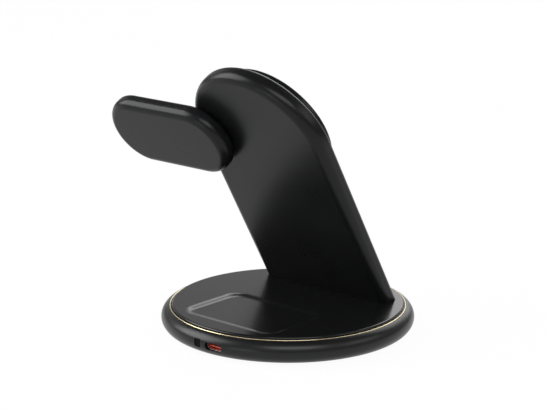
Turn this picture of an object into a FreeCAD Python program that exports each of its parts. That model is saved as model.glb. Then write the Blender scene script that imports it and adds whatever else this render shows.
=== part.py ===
import FreeCAD
import Part
import Sketcher

import math
import operator
import os
from types import SimpleNamespace

# Wireless charging stand: a round base with an earbud tray, a board that leans back and carries a phone pad
# on its front, and a watch arm that swivels on a round neck behind the board.
# Millimetres, +Z up, origin on the table under the middle of the base, the phone pad faces -Y.

SIZES = {
    # Base: outer shell, top disc, trim ring, bottom plate and foot
    "base_d": 120.0,
    "rim_round": 5.4,
    "rim_bottom": 1.45,
    "shell_wall": 4.5,
    "deck_t": 1.9,
    "rim_w": 5.8,
    "inlay_t": 1.9,
    "inlay_rise": 1.0,
    "inlay_edge": 0.9,
    "trim_inset": 3.6,
    "trim_w": 1.3,
    "trim_h": 1.45,
    "trim_rise": 0.35,
    "trim_edge": 0.35,
    "plate_t": 2.2,
    "foot_inset": 10.0,
    "foot_sink": 0.5,
    "foot_edge": 0.4,
    "foot_groove_inset": 12.0,
    "foot_groove_w": 3.0,
    "foot_groove_depth": 0.6,
    # Earbud tray in the top disc
    "tray_w": 56.5,
    "tray_l": 39.3,
    "tray_margin": 9.85,
    "tray_round": 9.5,
    "tray_depth": 0.9,
    "tray_edge": 0.8,
    "bud_coil_d": 32.0,
    "bud_coil_bore": 12.0,
    "bud_coil_t": 1.2,
    "bud_ferrite_w": 33.0,
    "bud_ferrite_t": 0.8,
    # Base screws and their bosses
    "boss_inset": 10.5,
    "boss_d": 7.0,
    "base_screw_d": 2.4,
    "base_screw_l": 5.5,
    "base_head_d": 5.6,
    "base_head_h": 0.9,
    # Ballast and circuit board
    "ballast_gap": 2.5,
    "ballast_t": 2.5,
    "ballast_board_gap": 1.5,
    "board_w": 40.0,
    "board_y": 19.5,
    "board_t": 0.8,
    "board_edge_gap": 2.3,
    "post_h": 0.4,
    "post_d": 3.0,
    "post_x": 15.0,
    "post_inset": 3.0,
    "chip_w": 7.0,
    "chip_t": 1.0,
    "inductor_w": 6.0,
    "inductor_t": 2.2,
    "inductor_spread": 13.0,
    # USB-C socket: the standard's shell and tongue
    "usb_x": -7.0,
    "usb_w": 8.94,
    "usb_h": 3.26,
    "usb_sheet": 0.3,
    "usb_l": 8.6,
    "usb_recess": 1.4,
    "usb_end_flat": 0.3,
    "usb_plug_l": 1.8,
    "tongue_w": 6.69,
    "tongue_t": 0.7,
    "tongue_back": 0.6,
    # Light button and its switch
    "button_x": 2.3,
    "button_deck_gap": 0.75,
    "button_w": 3.3,
    "button_h": 3.6,
    "button_round": 0.5,
    "button_recess": 0.35,
    "button_ear": 0.6,
    "button_ear_t": 0.8,
    "button_travel": 0.5,
    "switch_w": 4.5,
    "switch_h": 3.0,
    "switch_l": 2.4,
    "plunger_d": 1.6,
    "plunger_l": 0.5,
    # Stand board
    "stand_lean": 30.3,
    "stand_set": 28.2,
    "stand_w": 75.4,
    "stand_t": 9.0,
    "stand_arc_l": 92.9,
    "stand_split": 6.2,
    "stand_wall": 1.8,
    "stand_back_round": 4.4,
    "stand_front_round": 2.6,
    "foot_solid": 8.0,
    "lead_w": 8.0,
    "lead_d": 2.8,
    "tenon_w": 44.0,
    "tenon_d": 5.6,
    "tenon_set": 1.0,
    "clamp_gap": 3.3,
    "clamp_d": 14.0,
    "clamp_t": 1.5,
    "foot_screw_x": 15.0,
    "foot_screw_d": 2.6,
    "foot_screw_bite": 2.0,
    "foot_head_d": 5.0,
    "foot_head_h": 1.3,
    "cover_screw_inset": 6.0,
    "cover_screw_d": 2.2,
    "cover_screw_l": 4.4,
    "cover_head_d": 4.4,
    "cover_head_h": 1.2,
    "cover_boss_d": 6.0,
    "phone_board_w": 36.0,
    "phone_board_l": 28.0,
    "phone_board_at": 26.0,
    "phone_board_t": 1.0,
    # Phone pad
    "pad_rise": 0.3,
    "pad_d": 63.4,
    "pad_t": 5.0,
    "pad_groove": 0.3,
    "pad_overhang": 3.7,
    "pad_floor": 1.2,
    "pad_wall": 1.6,
    "pad_edge": 1.0,
    "pad_face_t": 1.2,
    "pad_lead_d": 8.0,
    "pad_headroom": 0.2,
    "coil_magnet_gap": 1.8,
    "phone_coil_bore": 18.0,
    "phone_ferrite_t": 0.8,
    "magnet_edge_gap": 2.3,
    "magnet_w": 4.5,
    "magnet_gap": 2.0,
    # Watch arm and its swivel
    "pivot_inset": 12.4,
    "arm_root": 7.45,
    "arm_span": 35.75,
    "arm_r": 18.35,
    "arm_gap": 1.3,
    "arm_t": 8.3,
    "arm_split": 4.3,
    "arm_wall": 1.6,
    "arm_back_round": 4.05,
    "arm_front_round": 2.4,
    "neck_edge": 0.3,
    "spindle_d": 10.0,
    "spindle_bore": 5.0,
    "spindle_head_t": 1.5,
    "spindle_end": 0.5,
    "bush_wall": 1.2,
    "bush_flange_t": 0.8,
    "washer_t": 0.5,
    "washer_inset": 0.5,
    "nut_d": 16.0,
    "nut_t": 1.5,
    "stop_reach": 2.0,
    "stop_tooth_deg": 20.0,
    "stop_play_deg": 2.0,
    "swivel_deg": 180.0,
    "watch_pad_inset": 1.95,
    "watch_pad_h": 0.8,
    "watch_pad_wall": 3.0,
    "watch_pad_edge": 0.4,
    "watch_face_h": 0.7,
    "watch_dish": 0.3,
    "watch_coil_gap": 3.2,
    "watch_coil_bore": 10.0,
    "watch_coil_t": 1.0,
    "watch_ferrite_t": 0.8,
    "watch_magnet_d": 8.0,
    "watch_board_t": 1.0,
    # Clearances
    "fit_gap": 0.2,
    "seat_gap": 0.1,
    "run_gap": 0.3,
}

MAGNETS = 18
EDGE_SHARE = 0.95
BOSS_ANGLES = (45, 135, 225, 315)
COVER_SCREW_ANGLES = (150, 210, 300)
ARITHMETIC = {"+": operator.add, "-": operator.sub, "*": operator.mul, "/": operator.truediv}


class Size:
    """A size of the sheet, or a formula of sizes: its number and the text that an expression takes."""

    def __init__(self, text, number):
        self.text = text
        self.number = number

    def __add__(self, other):
        return formula(self, "+", other)

    def __radd__(self, other):
        return formula(other, "+", self)

    def __sub__(self, other):
        return formula(self, "-", other)

    def __rsub__(self, other):
        return formula(other, "-", self)

    def __mul__(self, other):
        return formula(self, "*", other)

    def __rmul__(self, other):
        return formula(other, "*", self)

    def __truediv__(self, other):
        return formula(self, "/", other)

    def __neg__(self):
        return formula(0, "-", self)


def as_size(value):
    if isinstance(value, Size):
        return value
    return Size(f"{value:.9g}", float(value))


def formula(left, sign, right):
    left = as_size(left)
    right = as_size(right)
    return Size(f"({left.text} {sign} {right.text})", ARITHMETIC[sign](left.number, right.number))


def root(size):
    return Size(f"sqrt({size.text})", math.sqrt(size.number))


def sine(size):
    return Size(f"sin({size.text})", math.sin(math.radians(size.number)))


def cosine(size):
    return Size(f"cos({size.text})", math.cos(math.radians(size.number)))


def smaller(first, second):
    return Size(f"min({first.text}; {second.text})", min(first.number, second.number))


def reach(radius, offset):
    """Half chord of a circle at an offset from its centre."""
    return root(radius * radius - offset * offset)


def polar(radius, angle):
    return radius * cosine(angle), radius * sine(angle)


doc = FreeCAD.newDocument("charging_stand")
sheet = doc.addObject("Spreadsheet::Sheet", "Sizes")
for row, (alias, value) in enumerate(SIZES.items(), 1):
    sheet.set(f"A{row}", alias)
    sheet.set(f"B{row}", str(value))
    sheet.setAlias(f"B{row}", alias)
doc.recompute()
s = SimpleNamespace(**{alias: Size(f"Sizes.{alias}", value) for alias, value in SIZES.items()})
pieces = []
cuts = []


# Sketches, features and primitives whose sizes are bound to the sheet

def bind(thing, prop, size):
    thing.setExpression(prop, as_size(size).text)


def keep(label, thing):
    """Name a finished piece and list it for export."""
    thing.Label = label
    pieces.append(thing)
    return thing


def new_body(name, spot=None):
    body = doc.addObject("PartDesign::Body", name)
    if spot is not None:
        lean_back(body, spot)
    return body


def lean_back(thing, spot):
    """Put a piece in the board's frame: Y up along the board, Z out of its front, zero on its back face at a
    spot that is given as X and as the length along the board from its foot."""
    turn = 90 - s.stand_lean
    x, length = spot
    origin = (as_size(x), stand_back_y + length * lean_sin, base_top + length * lean_cos)
    thing.Placement = FreeCAD.Placement(
        FreeCAD.Vector(*(size.number for size in origin)),
        FreeCAD.Rotation(FreeCAD.Vector(1, 0, 0), turn.number),
    )
    place(thing, origin)
    bind(thing, "Placement.Rotation.Angle", turn)


def new_sketch(body, name, role="XY_Plane", lift=0):
    plane = [item for item in body.Origin.OriginFeatures if item.Role == role][0]
    sketch = body.newObject("Sketcher::SketchObject", name)
    sketch.AttachmentSupport = [(plane, "")]
    sketch.MapMode = "FlatFace"
    bind(sketch, "AttachmentOffset.Base.z", lift)
    return sketch


def limit(sketch, size, *constraint):
    index = sketch.addConstraint(Sketcher.Constraint(*constraint, size.number))
    bind(sketch, f"Constraints[{index}]", size)


def pin(sketch, geometry, point, x, y):
    """Hold a point of a sketch at coordinates given by formulas."""
    for kind, axis, size in (("DistanceX", -2, as_size(x)), ("DistanceY", -1, as_size(y))):
        if size.text == "0":
            sketch.addConstraint(Sketcher.Constraint("PointOnObject", geometry, point, axis))
        else:
            limit(sketch, size, kind, -1, 1, geometry, point)


def add_circle(sketch, diameter, x=0, y=0):
    x = as_size(x)
    y = as_size(y)
    radius = diameter / 2
    centre = FreeCAD.Vector(x.number, y.number, 0)
    geometry = sketch.addGeometry(Part.Circle(centre, FreeCAD.Vector(0, 0, 1), radius.number), False)
    pin(sketch, geometry, 3, x, y)
    limit(sketch, radius, "Radius", geometry)


def arc_between(start, end, radius):
    """Counter-clockwise arc of less than half a turn."""
    chord = end - start
    half = chord.Length / 2
    side = FreeCAD.Vector(-chord.y, chord.x, 0).normalize()
    centre = (start + end) / 2 + side * math.sqrt(max(radius * radius - half * half, 0))
    first = math.atan2(start.y - centre.y, start.x - centre.x)
    last = math.atan2(end.y - centre.y, end.x - centre.x)
    if last < first:
        last += 2 * math.pi
    circle = Part.Circle(centre, FreeCAD.Vector(0, 0, 1), radius)
    return Part.ArcOfCircle(circle, first, last)


def add_loop(sketch, corners):
    """Closed outline, counter-clockwise. A corner with a third value is reached by an arc of that radius,
    hollow where the radius comes with a fourth value."""
    points = [FreeCAD.Vector(as_size(c[0]).number, as_size(c[1]).number, 0) for c in corners]
    ends = []
    for index, corner in enumerate(corners):
        start = points[index - 1]
        end = points[index]
        if len(corner) == 2:
            geometry = sketch.addGeometry(Part.LineSegment(start, end), False)
            ends.append((geometry, 1, 2))
        elif len(corner) == 3:
            geometry = sketch.addGeometry(arc_between(start, end, corner[2].number), False)
            ends.append((geometry, 1, 2))
        else:
            geometry = sketch.addGeometry(arc_between(end, start, corner[2].number), False)
            ends.append((geometry, 2, 1))
    for index, (geometry, first, last) in enumerate(ends):
        before, _, before_last = ends[index - 1]
        sketch.addConstraint(Sketcher.Constraint("Coincident", before, before_last, geometry, first))
    for corner, (geometry, first, last) in zip(corners, ends):
        pin(sketch, geometry, last, corner[0], corner[1])
        if len(corner) > 2:
            limit(sketch, corner[2], "Radius", geometry)


def add_rectangle(sketch, x0, y0, x1, y1):
    add_loop(sketch, [(x1, y0), (x1, y1), (x0, y1), (x0, y0)])


def add_round_rectangle(sketch, x, y, width, height, radius):
    right = x + width / 2
    left = x - width / 2
    top = y + height / 2
    low = y - height / 2
    add_loop(sketch, [
        (right - radius, low), (right, low + radius, radius),
        (right, top - radius), (right - radius, top, radius),
        (left + radius, top), (left, top - radius, radius),
        (left, low + radius), (left + radius, low, radius),
    ])


def pad(body, sketch, length, down=False):
    feature = body.newObject("PartDesign::Pad", f"{sketch.Name}_pad")
    feature.Profile = sketch
    feature.Reversed = down
    bind(feature, "Length", length)
    return feature


def pocket(body, sketch, depth, along=False):
    """Cut against the sketch's normal, or along it."""
    before = body.Tip
    feature = body.newObject("PartDesign::Pocket", f"{sketch.Name}_pocket")
    feature.Profile = sketch
    feature.Reversed = along
    bind(feature, "Length", depth)
    cuts.append((feature, before))
    return feature


def revolve(body, sketch):
    feature = body.newObject("PartDesign::Revolution", f"{sketch.Name}_turned")
    feature.Profile = sketch
    feature.ReferenceAxis = (sketch, ["V_Axis"])
    feature.Angle = 360
    return feature


def groove(body, sketch):
    before = body.Tip
    feature = body.newObject("PartDesign::Groove", f"{sketch.Name}_groove")
    feature.Profile = sketch
    feature.ReferenceAxis = (sketch, ["V_Axis"])
    feature.Angle = 360
    cuts.append((feature, before))
    return feature


def soften(body, name, radius, wanted):
    """Round the edges of the body that a test picks."""
    doc.recompute()
    before = body.Tip
    names = [f"Edge{number}" for number, edge in enumerate(before.Shape.Edges, 1) if wanted(edge)]
    feature = body.newObject("PartDesign::Fillet", name)
    feature.Base = (before, names)
    bind(feature, "Radius", radius)
    return feature


def level(height, low=None):
    """Edges that lie flat at a height, and not at the low end of the outline."""
    def test(edge):
        box = edge.BoundBox
        flat = max(abs(box.ZMin - height.number), abs(box.ZMax - height.number)) < 1e-4
        return flat and (low is None or box.YMax > low.number + 1e-4)
    return test


def block(name, corner, spans):
    box = doc.addObject("Part::Box", name)
    for prop, size in zip(("Length", "Width", "Height"), spans):
        bind(box, prop, size)
    place(box, corner)
    return box


def rod(name, diameter, height, foot):
    cylinder = doc.addObject("Part::Cylinder", name)
    bind(cylinder, "Radius", diameter / 2)
    bind(cylinder, "Height", height)
    place(cylinder, foot)
    return cylinder


def place(thing, corner):
    for axis, size in zip("xyz", corner):
        bind(thing, f"Placement.Base.{axis}", size)


def joined(name, *things):
    fuse = doc.addObject("Part::MultiFuse", name)
    fuse.Shapes = list(things)
    return fuse


def minus(name, base, *tools):
    cut = doc.addObject("Part::Cut", name)
    cut.Base = base
    cut.Tool = tools[0] if len(tools) == 1 else joined(f"{name}_tools", *tools)
    return cut


def group(name, things):
    compound = doc.addObject("Part::Compound", name)
    compound.Links = things
    return compound


def turned(name, corners, spot=None):
    """Piece turned about the upright axis of its frame, from a half section of radius and height."""
    body = new_body(name, spot)
    section = new_sketch(body, f"{name}_section", "XZ_Plane")
    add_loop(section, corners)
    revolve(body, section)
    return body


def ring(name, bore, diameter, low, height, spot=None):
    """Flat ring, or a full disc where the bore is zero."""
    inner = 0 if bore == 0 else bore / 2
    outer = diameter / 2
    high = low + height
    return turned(name, [(outer, low), (outer, high), (inner, high), (inner, low)], spot)


# Levels and places that several pieces share

base_r = s.base_d / 2
inlay_d = s.base_d - 2 * s.rim_w
trim_d = s.base_d - 2 * s.trim_inset
foot_d = s.base_d - 2 * s.foot_inset
foot_groove_d = foot_d - 2 * s.foot_groove_inset
wall_r = base_r - s.shell_wall
seat_r = inlay_d / 2 + s.fit_gap
boss_circle_d = 2 * (wall_r - s.boss_inset)
ballast_d = boss_circle_d - s.boss_d - 2 * s.ballast_gap
ballast_flat_y = s.board_y - s.ballast_board_gap
tray_y = inlay_d / 2 - s.tray_margin - s.tray_l / 2

rim_mid = s.rim_bottom + s.rim_round
rim_top = s.rim_bottom + 2 * s.rim_round
rim_centre_r = base_r - s.rim_round
base_top = rim_top + s.inlay_rise
deck_top = base_top - s.inlay_t
deck_under = deck_top - s.deck_t
floor_top = s.rim_bottom + s.plate_t
foot_top = s.rim_bottom + s.foot_sink
circuit_low = floor_top + s.post_h
circuit_top = circuit_low + s.board_t
circuit_r = wall_r - s.board_edge_gap
usb_z = circuit_top + s.usb_h / 2
usb_front = reach(base_r, s.usb_x) - s.usb_recess
button_z = deck_under - s.button_h / 2 - s.button_deck_gap
ear_front = reach(wall_r, s.button_x + s.button_w / 2 + s.button_ear) - s.run_gap
switch_front = ear_front - s.button_ear_t - s.button_travel - s.fit_gap - s.plunger_l

lean_sin = sine(s.stand_lean)
lean_cos = cosine(s.stand_lean)
stand_half = s.stand_w / 2
stand_back_y = s.stand_set - inlay_d / 2
stand_drop = s.stand_t * lean_sin / lean_cos + s.foot_solid
tenon_back = stand_back_y - s.tenon_set
tenon_mid = tenon_back - s.tenon_d / 2
clamp_low = deck_under - s.clamp_t

pad_l = s.stand_arc_l + s.pad_rise
pad_back = s.stand_t + s.pad_groove
pad_floor_top = pad_back + s.pad_floor
pad_front = pad_back + s.pad_t
pad_spigot_d = s.pad_d - 2 * s.pad_overhang
cover_screw_circle_d = pad_spigot_d - 2 * s.cover_screw_inset
magnet_ring_d = s.pad_d - 2 * (s.pad_wall + s.magnet_edge_gap)
magnet_ring_bore = magnet_ring_d - 2 * s.magnet_w
magnet_t = s.pad_t - s.pad_floor - s.pad_face_t - s.pad_headroom
phone_coil_d = magnet_ring_bore - 2 * s.coil_magnet_gap
phone_coil_t = magnet_t - s.phone_ferrite_t

pivot_x = stand_half - s.pivot_inset
pivot_l = pad_l
arm_x = pivot_x + s.arm_root
watch_x = arm_x + s.arm_span
arm_front = -s.arm_gap
arm_back = arm_front - s.arm_t
arm_parting = arm_back + s.arm_split
arm_inner_front = arm_front - s.arm_wall
arm_inner_back = arm_back + s.arm_wall
watch_pad_d = 2 * (s.arm_r - s.arm_front_round - s.watch_pad_inset)
watch_coil_d = 2 * (s.arm_r - 2 * s.arm_wall - s.watch_coil_gap)
neck_r = s.arm_r - s.arm_front_round - s.arm_root - s.fit_gap
spindle_head_r = s.arm_r - 2 * s.arm_wall - s.arm_root - s.fit_gap
spindle_hole = s.spindle_d + 2 * s.run_gap
bush_d = spindle_hole + 2 * s.bush_wall
bush_top = s.stand_wall + s.bush_flange_t
washer_d = s.nut_d - 2 * s.washer_inset
nut_low = bush_top + s.washer_t + s.run_gap
nut_top = nut_low + s.nut_t

board_spot = (0, as_size(0))
phone_spot = (0, pad_l)
pivot_spot = (pivot_x, pivot_l)
watch_spot = (watch_x, pivot_l)


def ring_place(diameter, degrees, x=0, y=0):
    """Point on a circle of holes."""
    radius = diameter / 2
    return x + radius * math.cos(math.radians(degrees)), y + radius * math.sin(math.radians(degrees))


boss_places = [ring_place(boss_circle_d, angle) for angle in BOSS_ANGLES]
clamp_w = 2 * (boss_places[0][0] - s.boss_d / 2 - s.clamp_gap)
foot_screw_places = [(-s.foot_screw_x, tenon_mid), (s.foot_screw_x, tenon_mid)]
cover_screw_places = [ring_place(cover_screw_circle_d, angle, 0, pad_l) for angle in COVER_SCREW_ANGLES]


# Base

def add_socket_outline(sketch, growth):
    """The socket's round-ended section, grown or shrunk all round."""
    height = s.usb_h + 2 * growth
    round_r = (height - s.usb_end_flat) / 2
    add_round_rectangle(sketch, s.usb_x, usb_z, s.usb_w + 2 * growth, height, round_r)


def make_base_shell():
    """Turned rim with a deck across it, screw bosses, the socket's mouth and the button's window."""
    body = new_body("base_shell")
    section = new_sketch(body, "base_section", "XZ_Plane")
    wall_low = rim_mid - reach(s.rim_round, wall_r - rim_centre_r)
    seat_high = rim_mid + reach(s.rim_round, seat_r - rim_centre_r)
    add_loop(section, [
        (wall_r, wall_low),
        (base_r, rim_mid, s.rim_round),
        (seat_r, seat_high, s.rim_round),
        (seat_r, deck_top),
        (0, deck_top),
        (0, deck_under),
        (wall_r, deck_under),
    ])
    revolve(body, section)

    seat = new_sketch(body, "trim_seat", "XZ_Plane")
    half = s.trim_w / 2 + s.seat_gap
    add_rectangle(seat, trim_d / 2 - half, rim_top + s.trim_rise - s.trim_h, trim_d / 2 + half, base_top)
    groove(body, seat)

    bosses = new_sketch(body, "screw_bosses", lift=floor_top)
    for x, y in boss_places:
        add_circle(bosses, s.boss_d, x, y)
    pad(body, bosses, deck_under - floor_top)
    holes = new_sketch(body, "screw_pilots", lift=floor_top)
    for x, y in boss_places:
        add_circle(holes, s.base_screw_d + 2 * s.seat_gap, x, y)
    pocket(body, holes, s.base_screw_l, along=True)

    slot = new_sketch(body, "tenon_slot", lift=deck_top)
    half = s.tenon_w / 2 + s.seat_gap
    add_rectangle(slot, -half, tenon_back - s.tenon_d - s.seat_gap, half, tenon_back + s.seat_gap)
    pocket(body, slot, s.deck_t)

    mouth = new_sketch(body, "socket_mouth", "XZ_Plane", lift=-base_r)
    add_socket_outline(mouth, s.fit_gap)
    pocket(body, mouth, s.usb_l, along=True)

    window = new_sketch(body, "button_window", "XZ_Plane", lift=-base_r)
    add_round_rectangle(
        window, s.button_x, button_z,
        s.button_w + 2 * s.fit_gap, s.button_h + 2 * s.fit_gap, s.button_round + s.fit_gap,
    )
    pocket(body, window, s.shell_wall + s.run_gap, along=True)
    keep("base_shell", body)


def make_base_inlay():
    """Top disc with a rounded lip, the soft-edged earbud tray and the slot for the stand's tenon."""
    inlay_r = inlay_d / 2
    body = turned("base_inlay", [
        (inlay_r, deck_top),
        (inlay_r, base_top - s.inlay_edge),
        (inlay_r - s.inlay_edge, base_top, s.inlay_edge),
        (0, base_top),
        (0, deck_top),
    ])
    tray = new_sketch(body, "earbud_tray", lift=base_top)
    add_round_rectangle(tray, 0, tray_y, s.tray_w, s.tray_l, s.tray_round)
    pocket(body, tray, s.tray_depth)

    def tray_rim(edge):
        return level(base_top)(edge) and edge.BoundBox.XMax < inlay_r.number - s.inlay_edge.number * 2

    soften(body, "tray_lip", smaller(s.tray_edge, s.tray_depth * EDGE_SHARE), tray_rim)
    slot = new_sketch(body, "inlay_tenon_slot", lift=base_top)
    half = s.tenon_w / 2 + s.seat_gap
    add_rectangle(slot, -half, tenon_back - s.tenon_d - s.seat_gap, half, tenon_back + s.seat_gap)
    pocket(body, slot, s.inlay_t)
    keep("base_inlay", body)


def make_gold_trim_ring():
    """Cut ring with bevelled corners, set in the top of the rim."""
    inner = (trim_d - s.trim_w) / 2
    outer = (trim_d + s.trim_w) / 2
    top = rim_top + s.trim_rise
    low = top - s.trim_h
    body = turned("gold_trim_ring", [
        (outer, low),
        (outer, top - s.trim_edge),
        (outer - s.trim_edge, top),
        (inner + s.trim_edge, top),
        (inner, top - s.trim_edge),
        (inner, low),
    ])
    keep("gold_trim_ring", body)


def make_bottom_plate():
    """Plate that closes the base, with the foot's recess, screw seats and posts for the circuit board."""
    body = ring("bottom_plate", 0, 2 * (wall_r - s.fit_gap), s.rim_bottom, s.plate_t)
    posts = new_sketch(body, "circuit_posts", lift=floor_top)
    for y in (s.board_y + s.post_inset, reach(circuit_r, s.post_x) - s.post_inset):
        add_circle(posts, s.post_d, -s.post_x, y)
        add_circle(posts, s.post_d, s.post_x, y)
    pad(body, posts, s.post_h)
    recess = new_sketch(body, "foot_recess", lift=s.rim_bottom)
    add_circle(recess, foot_d + 2 * s.seat_gap)
    pocket(body, recess, s.foot_sink, along=True)
    seats = new_sketch(body, "screw_head_seats", lift=foot_top)
    holes = new_sketch(body, "screw_holes", lift=foot_top)
    for x, y in boss_places:
        add_circle(seats, s.base_head_d + 2 * s.fit_gap, x, y)
        add_circle(holes, s.base_screw_d + 2 * s.fit_gap, x, y)
    pocket(body, seats, s.base_head_h, along=True)
    pocket(body, holes, s.plate_t, along=True)
    keep("bottom_plate", body)


def make_foot_pad():
    """Soft disc that the stand rests on, with one round groove under it."""
    foot_r = foot_d / 2
    groove_in = (foot_groove_d - s.foot_groove_w) / 2
    groove_out = (foot_groove_d + s.foot_groove_w) / 2
    body = turned("foot_pad", [
        (groove_in, 0),
        (groove_in, s.foot_groove_depth),
        (groove_out, s.foot_groove_depth),
        (groove_out, 0),
        (foot_r - s.foot_edge, 0),
        (foot_r, s.foot_edge, s.foot_edge),
        (foot_r, foot_top),
        (0, foot_top),
        (0, 0),
    ])
    keep("foot_pad", body)


def make_ballast():
    """Steel plate on the bottom plate, flat towards the circuit board and clear of the stand's screws."""
    plate = rod("ballast_disc", ballast_d, s.ballast_t, (0, 0, floor_top))
    waste = block(
        "ballast_waste",
        (-ballast_d, ballast_flat_y, s.rim_bottom),
        (2 * ballast_d, ballast_d, s.base_d),
    )
    wells = [
        rod(f"ballast_well_{number}", s.foot_head_d + 2 * s.run_gap, s.base_d, (x, y, s.rim_bottom))
        for number, (x, y) in enumerate(foot_screw_places, 1)
    ]
    keep("ballast_plate", minus("ballast_plate", plate, waste, *wells))


def make_screws(label, places, low, head_d, head_h, shank_d, shank_l):
    """Identical screws with their heads down, as one group."""
    screws = []
    for number, (x, y) in enumerate(places, 1):
        head = rod(f"{label}_head_{number}", head_d, head_h, (x, y, low))
        shank = rod(f"{label}_shank_{number}", shank_d, shank_l, (x, y, low + head_h))
        screws.append(joined(f"{label}_{number}", head, shank))
    return keep(label, group(label, screws))


def make_circuit():
    """Circuit board trimmed to the round wall, with its charging chip, inductors and push switch."""
    blank = block("circuit_blank", (-s.board_w / 2, s.board_y, circuit_low), (s.board_w, s.base_d, s.board_t))
    limit_disc = rod("circuit_limit", 2 * circuit_r, s.base_d, (0, 0, 0))
    board = doc.addObject("Part::Common", "main_board")
    board.Base = blank
    board.Tool = limit_disc
    keep("main_board", board)

    chip_corner = (-s.chip_w / 2, s.board_y + s.chip_w, circuit_top)
    parts = [block("charge_chip", chip_corner, (s.chip_w, s.chip_w, s.chip_t))]
    inductor_y = tray_y + s.bud_ferrite_w / 2 + s.fit_gap
    for number, x in enumerate((-s.inductor_spread, s.inductor_spread), 1):
        corner = (x - s.inductor_w / 2, inductor_y, circuit_top)
        parts.append(block(f"inductor_{number}", corner, (s.inductor_w, s.inductor_w, s.inductor_t)))
    keep("board_components", group("board_components", parts))

    switch_back = switch_front - s.switch_l
    case = block(
        "switch_case",
        (s.button_x - s.switch_w / 2, switch_back, circuit_top),
        (s.switch_w, s.switch_l, s.switch_h),
    )
    plunger = rod("switch_plunger", s.plunger_d, s.plunger_l, (s.button_x, switch_front, button_z))
    plunger.Placement.Rotation = FreeCAD.Rotation(FreeCAD.Vector(1, 0, 0), -90)
    keep("button_switch", joined("button_switch", case, plunger))


def make_usb_socket():
    """Standard socket: a drawn shell that is open at the back of the base, with a tongue on a plug inside."""
    shell = new_body("usb_c_shell")
    outside = new_sketch(shell, "usb_outside", "XZ_Plane", lift=-usb_front)
    inside = new_sketch(shell, "usb_inside", "XZ_Plane", lift=-usb_front)
    add_socket_outline(outside, 0)
    add_socket_outline(inside, -s.usb_sheet)
    pad(shell, outside, s.usb_l)
    pocket(shell, inside, s.usb_l, along=True)
    keep("usb_c_shell", shell)

    tongue = new_body("usb_c_tongue")
    plug = new_sketch(tongue, "usb_plug", "XZ_Plane", lift=s.usb_l - s.usb_plug_l - usb_front)
    add_socket_outline(plug, -s.usb_sheet - s.seat_gap)
    pad(tongue, plug, s.usb_plug_l)
    blade = new_sketch(tongue, "usb_blade", "XZ_Plane", lift=s.tongue_back - usb_front)
    add_rectangle(
        blade,
        s.usb_x - s.tongue_w / 2, usb_z - s.tongue_t / 2,
        s.usb_x + s.tongue_w / 2, usb_z + s.tongue_t / 2,
    )
    pad(tongue, blade, s.usb_l - s.usb_plug_l - s.tongue_back)
    keep("usb_c_tongue", tongue)


def make_light_button():
    """Square cap in the rim's window, held from inside by an ear on each side."""
    body = new_body("light_button")
    front = reach(base_r, s.button_x) - s.button_recess
    cap = new_sketch(body, "button_cap", "XZ_Plane", lift=-front)
    add_round_rectangle(cap, s.button_x, button_z, s.button_w, s.button_h, s.button_round)
    pad(body, cap, front - ear_front)
    ears = new_sketch(body, "button_ears", "XZ_Plane", lift=-ear_front)
    ear_w = s.button_w + 2 * s.button_ear
    add_round_rectangle(ears, s.button_x, button_z, ear_w, s.button_h, s.button_round)
    pad(body, ears, s.button_ear_t)
    keep("light_button", body)


def make_earbud_charger():
    coil_low = deck_under - s.bud_coil_t
    coil = ring("earbud_coil", s.bud_coil_bore, s.bud_coil_d, coil_low, s.bud_coil_t)
    place(coil, (0, tray_y, 0))
    keep("earbud_coil", coil)
    half = s.bud_ferrite_w / 2
    ferrite = block(
        "earbud_ferrite",
        (-half, tray_y - half, coil_low - s.bud_ferrite_t),
        (s.bud_ferrite_w, s.bud_ferrite_w, s.bud_ferrite_t),
    )
    keep("earbud_ferrite", ferrite)


# Stand board, in its own leaning frame

def add_board_outline(sketch, inset, low):
    half = stand_half - inset
    add_loop(sketch, [
        (half, low),
        (half, s.stand_arc_l),
        (0, s.stand_arc_l + half, half),
        (-half, s.stand_arc_l, half),
        (-half, low),
    ])


def below_base_top(name):
    """Everything under the top disc's face, to trim the foot of the board level."""
    return block(
        name,
        (-s.base_d, -s.base_d, base_top - s.base_d),
        (2 * s.base_d, 2 * s.base_d, s.base_d),
    )


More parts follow.
